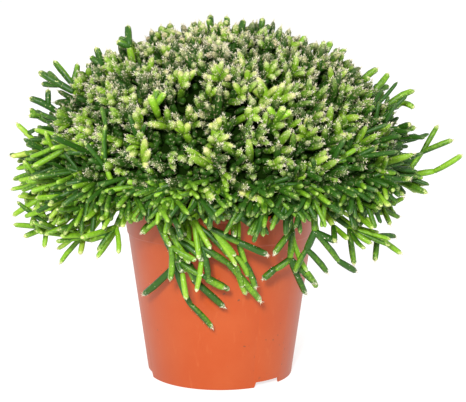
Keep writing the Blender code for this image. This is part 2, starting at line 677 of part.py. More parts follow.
def core_mesh(cell):
    """A crown stem's core: a curved plate under its share of the dome."""
    if cell.whole:
        return round_core(cell)
    bm = bmesh.new()
    inner, outer = [], []
    margin = CELL_GAP / (DOME_HALF_WIDTH - CORE_DEPTH)
    rows, columns = CORE_GRID
    for row in range(rows):
        polar = cell.low + margin + (cell.high - cell.low - 2 * margin) * row / (rows - 1)
        half = cell.width / 2 - margin / sin(polar)
        for column in range(columns):
            azimuth = cell.azimuth + half * (2 * column / (columns - 1) - 1)
            outer.append(bm.verts.new(polar_point(polar, azimuth, CORE_DEPTH)))
            inner.append(bm.verts.new(polar_point(polar, azimuth, CORE_DEPTH + CORE_THICK)))
    for row in range(rows - 1):
        for column in range(columns - 1):
            low = row * columns + column
            high = low + columns
            for side in (outer, inner):
                bm.faces.new((side[low], side[high], side[high + 1], side[low + 1]))
    rim = [(0, c) for c in range(columns)] + [(r, columns - 1) for r in range(1, rows)]
    rim += [(rows - 1, c) for c in range(columns - 2, -1, -1)] + [(r, 0) for r in range(rows - 2, 0, -1)]
    rim = [row * columns + column for row, column in rim]
    for corner, after in zip(rim, rim[1:] + rim[:1]):
        bm.faces.new((outer[corner], outer[after], inner[after], inner[corner]))
    bmesh.ops.recalc_face_normals(bm, faces=bm.faces)
    bmesh.ops.triangulate(bm, faces=bm.faces)
    return bm


def round_core(cell):
    """The core under the dome's middle: a curved disc."""
    bm = bmesh.new()
    reach = cell.high - CELL_GAP / (DOME_HALF_WIDTH - CORE_DEPTH)
    turns = [2 * pi * i / CORE_SIDES for i in range(CORE_SIDES)]
    outer = [bm.verts.new(polar_point(reach, turn, CORE_DEPTH)) for turn in turns]
    inner = [bm.verts.new(polar_point(reach, turn, CORE_DEPTH + CORE_THICK)) for turn in turns]
    top = bm.verts.new(polar_point(0, 0, CORE_DEPTH))
    bottom = bm.verts.new(polar_point(0, 0, CORE_DEPTH + CORE_THICK))
    for i in range(CORE_SIDES):
        after = (i + 1) % CORE_SIDES
        bm.faces.new((top, outer[i], outer[after]))
        bm.faces.new((bottom, inner[after], inner[i]))
        bm.faces.new((outer[i], inner[i], inner[after], outer[after]))
    return bm


def fused(name, base, parts, finish):
    """One solid: the base joined to all the parts by a Boolean union, applied."""
    group = bpy.data.collections.new(name + " parts")
    for part in parts:
        bpy.context.scene.collection.objects.unlink(part)
        group.objects.link(part)
    bpy.context.scene.collection.children.link(group)
    base.name = name
    base.data.materials.append(finish)
    join = base.modifiers.new("join", "BOOLEAN")
    join.operation = "UNION"
    join.operand_type = "COLLECTION"
    join.collection = group
    bpy.context.view_layer.update()
    evaluated = base.evaluated_get(bpy.context.evaluated_depsgraph_get())
    mesh = bpy.data.meshes.new_from_object(evaluated)
    base.modifiers.remove(join)
    base.data = mesh
    mesh.name = name
    for part in parts:
        bpy.data.objects.remove(part)
    bpy.data.collections.remove(group)
    return base


def stem_runs(plant, name):
    """A stem's segments as runs: each segment's first child goes on the run, and the others start one."""
    own = [i for i, segment in enumerate(plant.segments) if segment[0] == name]
    children = {i: [j for j in own if plant.segments[j][4] == i] for i in own}
    starts = [i for i in own if plant.segments[i][4] is None]
    starts += [j for i in own for j in children[i][1:]]
    runs = []
    for start in starts:
        run = [start]
        while children[run[-1]]:
            run.append(children[run[-1]][0])
        runs.append(run)
    return runs


def make_stem(plant, name, cell, finish):
    """One stem's solid: its rooted foot, its segments and, in the crown, its core."""
    draw = random.Random(name)
    parts = []
    for run in stem_runs(plant, name):
        owner, start, end, radius, parent = plant.segments[run[0]]
        rooted = parent is None and start.z < OUT_OF_PEAT
        finger = parent is None and not rooted
        stalk = rooted and cell
        points = [start] + [plant.segments[i][2] for i in run]
        first_radius = radius if rooted else radius * ROOT_TAPER
        radii = [first_radius] + [plant.segments[i][3] for i in run]
        if rooted:
            points.insert(0, start - Vector((0, 0, ROOT_DEPTH)))
            radii.insert(0, radius)
        if not stalk:
            points[-1] = points[-1] - (points[-1] - points[-2]).normalized() * TIP_LENGTH
        sides = 3 if finger or owner in WILD_NAMES else 4
        bm = tube_mesh(points, radii, sides, draw.uniform(0, pi), 0 if stalk else TIP_LENGTH)
        parts.append(new_object(name + "_part_%d" % run[0], bm))
    base = new_object(name, core_mesh(cell)) if cell else parts.pop(0)
    return fused(name, base, parts, finish)


def main():
    for old in list(bpy.data.objects):
        bpy.data.objects.remove(old)
    plant = Plant()
    for name, routes in list(TRAILING_STEMS.items()) + list(SKIRT_STEMS.items()):
        follow_routes(plant, name, routes)
    cells = crown_cells()
    grow_stalks(plant, cells)
    grow_sprigs(plant, cells)
    grow_wild_skirt(plant, WILD_SKIRT_AZIMUTHS)
    grow_fringe(plant, cells)
    grow_crown(plant, cells)
    make_pot()
    make_soil(plant)
    crown = material("crown stem", CROWN_GREEN, CROWN_ROUGH)
    skirt = material("skirt stem", SKIRT_GREEN, SKIRT_ROUGH)
    trailing = material("trailing stem", TRAILING_GREEN, TRAILING_ROUGH)
    by_name = {cell.name: cell for cell in cells}
    for name in plant.owners:
        finish = crown if name in by_name else trailing if name in TRAILING_STEMS else skirt
        make_stem(plant, name, by_name.get(name), finish)


main()
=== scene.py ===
# A potted rhipsalis burchellii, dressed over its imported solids: the terracotta plastic pot, its peat, and
# every rooted stem with its short jointed segments, pale tips and bristles.
# Metres, +Z up. The origin is on the pot's axis in the plane that it stands on, and the front is -Y.

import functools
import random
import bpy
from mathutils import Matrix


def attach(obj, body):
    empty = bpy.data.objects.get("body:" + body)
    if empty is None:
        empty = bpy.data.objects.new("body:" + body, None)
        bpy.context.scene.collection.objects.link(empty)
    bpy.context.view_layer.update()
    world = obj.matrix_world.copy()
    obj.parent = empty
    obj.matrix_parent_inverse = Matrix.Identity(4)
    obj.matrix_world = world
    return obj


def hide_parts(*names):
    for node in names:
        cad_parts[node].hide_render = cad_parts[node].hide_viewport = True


bl_info = {
    "name": "Potted Rhipsalis",
    "version": (1, 0, 0),
    "blender": (4, 5, 0),
    "location": "3D View > Sidebar > Rhipsalis",
    "description": "Dresses the packed solids of a potted rhipsalis burchellii",
    "category": "Object",
}

from math import atan2, cos, pi, radians, sin

import bmesh
import bpy
import numpy as np
from bpy.props import FloatProperty, FloatVectorProperty, IntProperty, PointerProperty
from mathutils import Matrix, Vector

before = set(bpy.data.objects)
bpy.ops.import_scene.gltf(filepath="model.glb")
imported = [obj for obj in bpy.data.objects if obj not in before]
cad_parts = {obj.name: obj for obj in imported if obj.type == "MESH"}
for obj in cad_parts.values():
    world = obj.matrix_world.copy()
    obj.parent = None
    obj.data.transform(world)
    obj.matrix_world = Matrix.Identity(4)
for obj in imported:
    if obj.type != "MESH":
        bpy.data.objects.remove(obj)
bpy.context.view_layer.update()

MM = 0.001

# Pot
POT_HEIGHT = 0.107
FOOT_RADIUS = 0.0448
BAND_HEIGHT = 0.089            # the rim band starts here
WALL_TOP_RADIUS = 0.0570       # wall just under the rim band
BAND_STEP = 0.0006             # how far the band stands proud of the wall
RIM_RADIUS = 0.0600
LIP_ROLL = 0.0010              # the lip's swell beyond the band
LIP_LOW = 0.0030               # from the top down to where the lip begins, and to its widest
LIP_WIDE = 0.0018
WALL = 0.0013
EDGE_ROUND = 0.0004
SHARP_EDGE = 38                # degrees
BAND_RISE = 0.0004             # height of the slope under the rim band
FLOOR_RISE = 0.0030            # underside of the floor above the standing plane
FLOOR_TOP = FLOOR_RISE + 0.0016
CENTRE_FOOT_RADIUS = 0.0120
NOTCH_WIDTH = 0.018
NOTCH_HEIGHT = 0.0034
NOTCH_REACH = 0.006            # from the foot's outside in to the notch's end
NOTCH_FLARE = 1.14             # a notch's width at the foot, as a share of its width at the top
NOTCH_AZIMUTHS = [radians(-50 + 120 * i) for i in range(3)]
SLOT_DEPTH = 0.0045            # radial width of the drain slot in the floor behind each notch
SLOT_INSET = 0.0012            # from the wall's inside to the slot
CUT_OVERRUN = 0.001            # how far the cutters run past the plastic
NOTCH_OVERRUN = 0.003

# Peat
GAP = 0.0003                   # between pieces that touch
PEAT_EDGE = 0.0965
PEAT_CROWN = 0.0990
ROOT_DEPTH = 0.010

# Plant form
DOME_CENTRE = 0.112            # height of the dome's centre
DOME_HALF_WIDTH = 0.120
DOME_HEIGHT = 0.106
CORE_DEPTH = 0.019             # from the dome's surface in to the crown stems' cores
CORE_THICK = 0.005
CROWN_RINGS = [(0, 19, 1), (19, 48, 6), (48, 79, 11)]    # polar angles in degrees, stems in the ring
CROWN_ROOT_RINGS = [0.0, 0.016, 0.031]
CROWN_ROOT_HEIGHT = 0.098
STALK_RISE = 0.006             # a stalk stands straight this far before it leans
OUT_OF_PEAT = 0.1              # joints above this height are clear of the peat
SKIRT_ROOT_RADIUS = 0.0435
SKIRT_ROOT_HEIGHT = 0.097
SKIRT_BEND = (0.0445, 0.103)   # radius and height of a skirt stem's first joint
SKIRT_CREST = (0.066, 0.1125)  # and of its second, over the rim
CREST_STAGGER = 0.004          # every other skirt stem passes this much higher over the rim
SKIRT_FORKS = [3, 2, 2]        # segments that each segment forks into, level by level
SKIRT_FAN = 46                 # degrees between those
SKIRT_JITTER = 8               # degrees either way at random, and again for each attempt
SKIRT_WANDER = 14
SKIRT_LIFT = (-34, 12)         # degrees, and for the first level
SKIRT_FIRST_LIFT = (-46, 8)
SKIRT_LENGTH = (0.020, 0.027)
SKIRT_ATTEMPTS = 14
SKIRT_ABOVE = (0.062, -0.008)  # the skirt's space over the dome's centre: least radius, and depth
SKIRT_BELOW = (0.066, 0.126)   # below it: least radius, and the greatest, which narrows downwards
SKIRT_TAPER = 0.45
SKIRT_LOWEST = 0.072
CORE_TESTS = 6                 # places along a segment that are tested against the cores
FINGER_SPACING = 0.0242        # between whorls of crown segments
FINGER_RADIUS = 0.0026
FINGER_SPREAD = 0.0038         # from a whorl's middle to each of its three segments
FINGER_TILT = (18, 56)         # degrees from the dome's normal
FINGER_TURN = 0.12             # how unevenly the three are spaced, as a share of their spacing
FINGER_LENGTH = (0.018, 0.025)
FINGER_DROOP = 0.35            # how much the segments sag for each radian of polar angle beyond the next
DROOP_FROM = 1.0
UPRIGHT = 0.2                  # polar angle up to which a normal counts as vertical
FINGER_ATTEMPTS = 10
FREE_ROOT = 0.003              # a segment's first part may touch its neighbours
CORE_SINK = 0.0012             # how deep a segment stands in its core
CORE_EXIT = 0.006              # a segment is out of its own core this far from its root
WHORL_RING = 0.66              # the middle cell's ring of whorls, as a share of its polar angle
WHORL_JITTER = 0.09            # as a share of the spacing
WHORL_SHIFT = 0.02             # radians up or down
STEEPEST = 0.3                 # least sine of a polar angle that the jitter is widened for
FRINGE_PITCH = 0.0105          # between the segments that hang from the lowest cores' edge
FRINGE_INSET = 0.035           # radians from that edge to their roots
FRINGE_TURN = 0.9              # radians sideways at most
FRINGE_DROP = (8, 52)          # degrees below the level
FRINGE_LENGTH = (0.018, 0.024)
FRINGE_ATTEMPTS = 16
SPRIG_RADIUS = 0.0020
STALK_RADIUS = 0.0017
STEM_RADIUS = 0.0016
CLEARANCE = 0.00035            # between segments of different stems
SAME_PLACE = 1e-6
PARALLEL = 1e-16

# Stems that show one by one in the photograph. Points are millimetres. A route starts from the stem's
# root in the peat, or from a point that an earlier route of the same stem has reached.
TRAILING_STEMS = {
    "trailing_stem_1": [
        [(-21, -38, 97), (-22, -39, 105), (-28, -58, 113), (-30, -66, 105), (-26, -64, 95), (-26, -62, 80),
         (-45, -50, 60)],
        [(-26, -62, 80), (-17, -61, 56), (-5, -61, 43)]],
    "trailing_stem_2": [
        [(-30, -32, 97), (-30, -33, 103), (-38, -57, 114), (-36, -69, 108), (-30, -72, 95), (-23, -72, 84)],
        [(-36, -69, 108), (-44, -72, 101)]],
    "trailing_stem_3": [
        [(-12, -42, 97), (-12, -42, 103), (-19, -59, 112), (-21, -67, 103), (-19, -67, 84), (-15, -66, 72),
         (2, -64, 56)]],
    "trailing_stem_4": [
        [(-2, -44, 97), (-2, -44, 103), (-9, -62, 113), (-15, -74, 109), (-10, -76, 93), (-7, -74, 74),
         (2, -72, 69)],
        [(-10, -76, 93), (4, -75, 84), (23, -67, 60)]],
    "trailing_stem_5": [
        [(7, -43, 97), (7, -43, 103), (-1, -62, 117), (-13, -79, 116), (-5, -83, 105), (11, -83, 97),
         (26, -81, 90)]],
    "trailing_stem_6": [
        [(16, -40, 97), (16, -41, 103), (9, -62, 113), (10, -75, 98), (14, -75, 84), (20, -71, 69)],
        [(9, -62, 113), (4, -81, 117), (22, -87, 105)]],
    "trailing_stem_7": [
        [(24, -36, 97), (25, -37, 103), (36, -56, 113), (41, -63, 100), (40, -62, 84), (55, -56, 68)],
        [(40, -62, 84), (50, -53, 61)],
        [(40, -62, 84), (31, -64, 78), (25, -65, 73)],
        [(41, -63, 100), (31, -69, 88)]],
    "trailing_stem_8": [
        [(30, -32, 97), (31, -33, 103), (46, -51, 114), (53, -69, 118), (53, -76, 102), (65, -73, 96)],
        [(53, -76, 102), (49, -72, 91), (61, -68, 77)],
        [(53, -76, 102), (68, -66, 83), (78, -60, 76)]],
}
SKIRT_STEMS = {
    "skirt_stem_1": [
        [(-36, -24, 97), (-37, -25, 103), (-46, -52, 114), (-56, -81, 121), (-62, -86, 138), (-72, -69, 151),
         (-88, -43, 151), (-106, -23, 142), (-121, -24, 158)],
        [(-106, -23, 142), (-124, -28, 139)],
        [(-106, -23, 142), (-105, -26, 118)]],
    "skirt_stem_2": [
        [(-43, -1, 97), (-44, -3, 103), (-60, -27, 113), (-72, -35, 115), (-89, -30, 110), (-105, -22, 95),
         (-125, -18, 96)],
        [(-105, -22, 95), (-117, -30, 91)],
        [(-105, -22, 95), (-106, -26, 84)],
        [(-89, -30, 110), (-111, -32, 108)]],
    "skirt_stem_3": [
        [(-40, -17, 97), (-41, -18, 103), (-51, -44, 114), (-54, -61, 114), (-61, -56, 98), (-76, -50, 92)],
        [(-61, -56, 98), (-71, -58, 84)],
        [(-54, -61, 114), (-59, -70, 104)]],
    "skirt_stem_4": [
        [(-43, 8, 97), (-44, 6, 103), (-65, -21, 113), (-74, -38, 103), (-81, -38, 92), (-95, -36, 76)],
        [(-81, -38, 92), (-82, -48, 84)],
        [(-74, -38, 103), (-87, -29, 91), (-98, -22, 82)]],
    "skirt_stem_5": [
        [(-42, -9, 97), (-43, -10, 103), (-56, -38, 115), (-68, -52, 119), (-85, -52, 118), (-94, -42, 128),
         (-93, -40, 137)],
        [(-85, -52, 118), (-92, -50, 131)]],
    "skirt_stem_6": [
        [(-40, 16, 97), (-42, 15, 103), (-68, -6, 114), (-85, -9, 119), (-105, -4, 121), (-129, 0, 115)],
        [(-105, -4, 121), (-121, 4, 128)],
        [(-85, -9, 119), (-111, -8, 110), (-127, -7, 100)]],
    "skirt_stem_7": [
        [(43, -7, 97), (44, -8, 103), (67, -14, 114), (88, -14, 120), (112, -12, 125), (123, -9, 139),
         (132, -8, 155)],
        [(123, -9, 139), (140, -14, 147)],
        [(112, -12, 125), (129, -20, 129), (144, -24, 139)]],
    "skirt_stem_8": [
        [(41, -15, 97), (42, -16, 105), (65, -27, 113), (84, -29, 111), (97, -27, 108), (110, -23, 113)],
        [(97, -27, 108), (101, -34, 99)],
        [(97, -27, 108), (108, -20, 101)]],
    "skirt_stem_9": [
        [(37, -22, 97), (38, -23, 105), (60, -38, 113), (77, -40, 100), (94, -30, 91), (106, -20, 89)],
        [(94, -30, 91), (108, -32, 81)],
        [(94, -30, 91), (92, -38, 78)]],
    "skirt_stem_10": [
        [(34, -27, 97), (35, -28, 105), (56, -47, 114), (75, -52, 100), (78, -54, 79)],
        [(75, -52, 100), (87, -57, 92)]],
}

# Sprigs that stand out of the dome's outline in the photograph, each from a joint to a tip, in millimetres.
CROWN_SPRIGS = [
    [(-50, -37, 192), (-53, -36, 204), (-54, -30, 216)], [(-53, -36, 204), (-60, -37, 207)],
    [(-89, -8, 176), (-110, -6, 188)], [(-89, 2, 178), (-102, 4, 194)], [(-98, -16, 164), (-114, -19, 173)],
    [(-104, 8, 156), (-118, 10, 164)], [(-70, -16, 190), (-74, -18, 203)], [(-18, 4, 205), (-18, 2, 215)],
    [(-4, -6, 207), (-6, -2, 222)], [(2, 8, 208), (4, 6, 221)], [(12, -8, 206), (14, -4, 219)],
    [(22, 6, 205), (26, 4, 220)], [(30, -6, 203), (41, -6, 209)], [(46, 4, 199), (52, 2, 209)],
    [(59, -8, 193), (67, -8, 206)], [(68, 6, 189), (77, 6, 201)], [(83, -6, 179), (95, -8, 190)],
    [(92, 8, 172), (104, 10, 186)], [(99, -10, 165), (117, -12, 177)], [(100, -22, 155), (116, -27, 156)],
    [(-76, 40, 176), (-86, 46, 190)], [(60, 66, 178), (68, 74, 192)], [(-8, 84, 180), (-9, 96, 192)],
    [(-64, 76, 160), (-74, 88, 168)], [(92, 52, 150), (106, 60, 156)], [(-34, -84, 168), (-38, -95, 180)],
    [(30, -88, 164), (34, -100, 174)],
]

# Skirt stems that nothing sets one by one: they fill the sides and the back.
WILD_SKIRT_AZIMUTHS = [4 + 16 * i for i in range(10)]
WILD_NAMES = ["skirt_stem_%d" % (len(SKIRT_STEMS) + 1 + i) for i in range(len(WILD_SKIRT_AZIMUTHS))]
WILD_SKIRT_SEED = 41
CROWN_SEED = 7
FRINGE_SEED = 19


def polar_point(polar, azimuth, depth):
    """A point below the dome's surface, from its polar angle and azimuth about the dome's centre."""
    across = (DOME_HALF_WIDTH - depth) * sin(polar)
    up = (DOME_HEIGHT - depth) * cos(polar)
    return Vector((across * cos(azimuth), across * sin(azimuth), DOME_CENTRE + up))


def ring_point(radius, azimuth, height):
    """A point at a radius, azimuth and height."""
    return Vector((cos(azimuth), sin(azimuth), 0)) * radius + Vector((0, 0, height))


def outward(polar, azimuth):
    """The dome's outward normal at a polar angle and azimuth."""
    across = sin(polar) / DOME_HALF_WIDTH
    up = cos(polar) / DOME_HEIGHT
    return Vector((across * cos(azimuth), across * sin(azimuth), up)).normalized()


def falling(azimuth, drop):
    """A heading towards an azimuth and down, by an angle below the level."""
    return Vector((cos(azimuth) * cos(drop), sin(azimuth) * cos(drop), -sin(drop)))


def dome_level(point, depth):
    """1 on the dome's surface sunk by depth, less inside it and more outside."""
    across = np.hypot(point[0], point[1]) / (DOME_HALF_WIDTH - depth)
    up = (point[2] - DOME_CENTRE) / (DOME_HEIGHT - depth)
    return float(np.hypot(across, up))


def distances(start, end, starts, ends):
    """Shortest distances from one straight segment to each of many."""
    along, others = end - start, ends - starts
    offset = start - starts
    a = along @ along
    b = others @ along
    c = offset @ along
    e = (others * others).sum(axis=1)
    f = (others * offset).sum(axis=1)
    spread = a * e - b * b
    s = np.where(spread > PARALLEL, (b * f - c * e) / np.maximum(spread, PARALLEL), 0).clip(0, 1)
    t = ((b * s + f) / e).clip(0, 1)
    s = ((b * t - c) / a).clip(0, 1)
    nearest = (start + s[:, None] * along) - (starts + t[:, None] * others)
    return np.sqrt((nearest ** 2).sum(axis=1))


class Plant:
    """The segments of every stem, each a capsule that keeps clear of the other stems."""

    def __init__(self):
        self.segments = []                  # owner, start, end, radius, parent's index or None
        self.capsules = np.zeros((0, 7))    # the same starts, ends and radii

    def clear(self, owner, start, end, radius, parent=None):
        """Whether a segment fits between the segments that are already there."""
        starts, ends, radii = np.split(self.capsules, [3, 6], axis=1)
        room = distances(np.array(start), np.array(end), starts, ends) - radii[:, 0] - radius
        own = np.array([segment[0] == owner for segment in self.segments])
        joined = own & (np.linalg.norm(starts - np.array(start), axis=1) < SAME_PLACE)
        if parent is not None:
            joined[parent] = True
        return bool(np.all(room[~own] >= CLEARANCE) and np.all(room[own & ~joined] >= 0))

    def add(self, owner, start, end, radius, parent=None):
        """Keep a segment, and return its index."""
        self.segments.append((owner, Vector(start), Vector(end), radius, parent))
        self.capsules = np.vstack([self.capsules, (*start, *end, radius)])
        return len(self.segments) - 1


def outside_cores(start, end, radius):
    """Whether a segment stays off the crown's cores, passing over or under them."""
    floor = polar_point(radians(CROWN_RINGS[-1][1]), 0, CORE_DEPTH + CORE_THICK)
    slope = (floor.z - DOME_CENTRE) / floor.x
    for step in range(CORE_TESTS + 1):
        point = start.lerp(end, step / CORE_TESTS)
        over = dome_level(point, CORE_DEPTH - radius - 2 * GAP) >= 1
        inside = dome_level(point, CORE_DEPTH + CORE_THICK + radius + 2 * GAP) <= 1
        below = point.z < DOME_CENTRE + slope * np.hypot(point.x, point.y) - radius - GAP
        if not (over or inside or below):
            return False
    return True


def follow_routes(plant, name, routes):
    """Add a stem whose joints are listed, each new route starting where an earlier one has been."""
    joints = {}
    for route in routes:
        points = [Vector(p) * MM for p in route]
        parent = joints.get(route[0])
        for index in range(1, len(points)):
            radius = STALK_RADIUS if points[index].z > OUT_OF_PEAT and index < 3 else STEM_RADIUS
            parent = plant.add(name, points[index - 1], points[index], radius, parent)
            joints[route[index]] = parent


def turned(direction, side_turn, lift):
    """A direction turned sideways about the vertical and raised, both in degrees."""
    flat = Matrix.Rotation(radians(side_turn), 3, "Z") @ direction
    axis = flat.cross(Vector((0, 0, 1))).normalized()
    return Matrix.Rotation(radians(lift), 3, axis) @ flat


def in_skirt(point):
    """Whether a tip lies in the space that the skirt fills."""
    across = np.hypot(point.x, point.y)
    if point.z > DOME_CENTRE:
        return across > SKIRT_ABOVE[0] and dome_level(point, SKIRT_ABOVE[1]) < 1
    widest = SKIRT_BELOW[1] - SKIRT_TAPER * (DOME_CENTRE - point.z)
    return SKIRT_BELOW[0] < across < widest and point.z > SKIRT_LOWEST


def grow_wild_skirt(plant):
    """Fill the rest of the skirt by rule: each stem crosses the rim, then forks again and again."""
    draw = random.Random(WILD_SKIRT_SEED)
    tips = []
    for number, name in enumerate(WILD_NAMES):
        azimuth = radians(WILD_SKIRT_AZIMUTHS[number])
        root = ring_point(SKIRT_ROOT_RADIUS, azimuth, SKIRT_ROOT_HEIGHT)
        bend = ring_point(SKIRT_BEND[0], azimuth, SKIRT_BEND[1])
        over = ring_point(SKIRT_CREST[0], azimuth, SKIRT_CREST[1] + CREST_STAGGER * (number % 2))
        parent = plant.add(name, root, bend, STALK_RADIUS)
        parent = plant.add(name, bend, over, STALK_RADIUS, parent)
        tips.append((name, parent, (over - bend).normalized(), 0))
    while tips:
        name, parent, direction, level = tips.pop(0)
        start = plant.segments[parent][2]
        wanted = SKIRT_FORKS[level]
        turns = [draw.uniform(-SKIRT_JITTER, SKIRT_JITTER) + (fork - (wanted - 1) / 2) * SKIRT_FAN
                 for fork in range(wanted)]
        for turn in turns:
            for attempt in range(SKIRT_ATTEMPTS):
                lift = draw.uniform(*(SKIRT_LIFT if level else SKIRT_FIRST_LIFT))
                heading = turned(direction, turn + draw.uniform(-SKIRT_WANDER, SKIRT_WANDER), lift)
                end = start + heading * draw.uniform(*SKIRT_LENGTH)
                if in_skirt(end) and outside_cores(start, end, STEM_RADIUS) \
                        and plant.clear(name, start, end, STEM_RADIUS, parent):
                    child = plant.add(name, start, end, STEM_RADIUS, parent)
                    if level < len(SKIRT_FORKS) - 1:
                        tips.append((name, child, heading, level + 1))
                    break


class Cell:
    """One crown stem's share of the dome: between two polar angles and two azimuths."""

    def __init__(self, name, ring, number):
        low, high, count = CROWN_RINGS[ring]
        self.name = name
        self.low, self.high = radians(low), radians(high)
        self.width = 2 * pi / count
        self.whole = count == 1
        self.lowest = ring == len(CROWN_RINGS) - 1
        self.azimuth = 0 if self.whole else self.width * (number + 0.5 * (ring % 2))
        middle = 0 if self.whole else (self.low + self.high) / 2
        self.centre = polar_point(middle, self.azimuth, CORE_DEPTH + CORE_THICK / 2)
        self.root = ring_point(CROWN_ROOT_RINGS[ring], self.azimuth, CROWN_ROOT_HEIGHT)


def crown_cells():
    """The crown's cells, ring by ring from the top."""
    places = [(ring, number) for ring, rule in enumerate(CROWN_RINGS) for number in range(rule[2])]
    return [Cell("crown_stem_%d" % (index + 1), *place) for index, place in enumerate(places)]


def whorl_places(cell, draw):
    """Jittered places over a cell, a spacing apart, as polar angles and azimuths."""
    rows = max(1, round((cell.high - cell.low) * DOME_HALF_WIDTH / FINGER_SPACING))
    places = [(0.0, 0.0)] if cell.whole else []
    for row in range(rows):
        share = (row + 0.5) / rows
        polar = cell.high * WHORL_RING if cell.whole else cell.low + (cell.high - cell.low) * share
        columns = max(1, round(DOME_HALF_WIDTH * sin(polar) * cell.width / FINGER_SPACING))
        for column in range(columns):
            azimuth = cell.azimuth + cell.width * ((column + 0.5) / columns - 0.5)
            jitter = WHORL_JITTER * FINGER_SPACING / (DOME_HALF_WIDTH * max(sin(polar), STEEPEST))
            shift = draw.uniform(-WHORL_SHIFT, WHORL_SHIFT)
            places.append((polar + shift, azimuth + draw.uniform(-1, 1) * jitter))
    return places


def cell_under(cells, point):
    """The cell whose share of the dome a point lies over, with the point's polar angle and azimuth."""
    up = (point.z - DOME_CENTRE) / (DOME_HEIGHT - CORE_DEPTH)
    polar = atan2(np.hypot(point.x, point.y) / (DOME_HALF_WIDTH - CORE_DEPTH), up)
    azimuth = atan2(point.y, point.x)
    for cell in cells:
        turn = (azimuth - cell.azimuth + pi) % (2 * pi) - pi
        if cell.low <= polar < cell.high and abs(turn) <= cell.width / 2:
            return cell, polar, azimuth
    raise ValueError("no cell lies under %s" % point)


def grow_stalks(plant, cells):
    """Each crown stem's bare stalk, from the peat up to its core."""
    for cell in cells:
        bend = cell.root + Vector((0, 0, STALK_RISE))
        parent = plant.add(cell.name, cell.root, bend, STALK_RADIUS)
        plant.add(cell.name, bend, cell.centre, STALK_RADIUS, parent)


def grow_sprigs(plant, cells):
    """The sprigs that are set one by one, each rooted in the core beneath its first joint."""
    joints = {}
    for route in CROWN_SPRIGS:
        points = [Vector(p) * MM for p in route]
        if route[0] in joints:
            name, parent = joints[route[0]]
        else:
            cell, polar, azimuth = cell_under(cells, points[0])
            name = cell.name
            root = polar_point(polar, azimuth, CORE_DEPTH + CORE_SINK)
            parent = plant.add(name, root, points[0], SPRIG_RADIUS)
        for index in range(1, len(points)):
            parent = plant.add(name, points[index - 1], points[index], SPRIG_RADIUS, parent)
            joints[route[index]] = (name, parent)


def added_finger(plant, name, root, heading, length):
    """Add a crown segment if it is clear of all others and of the cores, and say whether it was."""
    end = root + heading * length
    fits = plant.clear(name, root + heading * FREE_ROOT, end, FINGER_RADIUS) \
        and outside_cores(root + heading * CORE_EXIT, end, FINGER_RADIUS)
    if fits:
        plant.add(name, root, end, FINGER_RADIUS)
    return fits


def grow_fringe(plant, cells):
    """Segments that hang outwards from the lowest cores' edge and close the view under the dome."""
    draw = random.Random(FRINGE_SEED)
    for cell in [cell for cell in cells if cell.lowest]:
        count = int(DOME_HALF_WIDTH * cell.width / FRINGE_PITCH)
        for number in range(count):
            azimuth = cell.azimuth + cell.width * ((number + 0.5) / count - 0.5)
            root = polar_point(cell.high - FRINGE_INSET, azimuth, CORE_DEPTH + CORE_SINK)
            for attempt in range(FRINGE_ATTEMPTS):
                turn = azimuth + draw.uniform(-FRINGE_TURN, FRINGE_TURN)
                heading = falling(turn, radians(draw.uniform(*FRINGE_DROP)))
                if added_finger(plant, cell.name, root, heading, draw.uniform(*FRINGE_LENGTH)):
                    break


def grow_crown(plant, cells):
    """Stand three segments at each place of every cell, spread apart."""
    draw = random.Random(CROWN_SEED)
    for cell in cells:
        for polar, azimuth in whorl_places(cell, draw):
            normal = outward(polar, azimuth)
            side = normal.cross(Vector((0, 0, 1)) if polar > UPRIGHT else Vector((1, 0, 0))).normalized()
            first_turn = draw.uniform(0, 2 * pi)
            for finger in range(3):
                for attempt in range(FINGER_ATTEMPTS):
                    turn = first_turn + 2 * pi * (finger + draw.uniform(-FINGER_TURN, FINGER_TURN)) / 3
                    lean = Matrix.Rotation(turn, 3, normal) @ side
                    tilt = radians(draw.uniform(*FINGER_TILT))
                    heading = normal * cos(tilt) + lean * sin(tilt)
                    heading.z -= FINGER_DROOP * max(0.0, polar - DROOP_FROM)
                    heading.normalize()
                    root = polar_point(polar, azimuth, CORE_DEPTH + CORE_SINK) + lean * FINGER_SPREAD
                    if added_finger(plant, cell.name, root, heading, draw.uniform(*FINGER_LENGTH)):
                        break


@functools.cache
def grown():
    """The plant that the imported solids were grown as, and the crown's cells."""
    plant = Plant()
    for name, routes in (TRAILING_STEMS | SKIRT_STEMS).items():
        follow_routes(plant, name, routes)
    cells = crown_cells()
    grow_stalks(plant, cells)
    grow_sprigs(plant, cells)
    grow_wild_skirt(plant)
    grow_fringe(plant, cells)
    grow_crown(plant, cells)
    return plant, cells


def colour_setting(name, description, *default):
    """A colour."""
    return FloatVectorProperty(name=name, description=description, subtype="COLOR", size=3, default=default,
                               min=0, max=1)


def length_setting(name, description, default, low, high):
    """A length in metres."""
    return FloatProperty(name=name, description=description, default=default, min=low, max=high,
                         unit="LENGTH")


def number_setting(name, description, default, low, high, subtype="NONE"):
    """A share, an angle or a strength."""
    return FloatProperty(name=name, description=description, default=default, min=low, max=high,
                         subtype=subtype)


def count_setting(name, description, default, low, high):
    """A whole number."""
    return IntProperty(name=name, description=description, default=default, min=low, max=high)


class PotSettings(bpy.types.PropertyGroup):
    sides: count_setting("Sides", "Flats round the pot", 144, 24, 256)
    colour: colour_setting("Plastic", "Terracotta plastic", 0.36, 0.051, 0.0035)
    worn: colour_setting("Worn plastic", "Paler, scuffed plastic", 0.40, 0.080, 0.016)
    dirt: colour_setting("Dirt", "Specks of peat on the wall", 0.16, 0.045, 0.015)
    roughness: number_setting("Roughness", "How matt the plastic is", 0.42, 0, 1, "FACTOR")


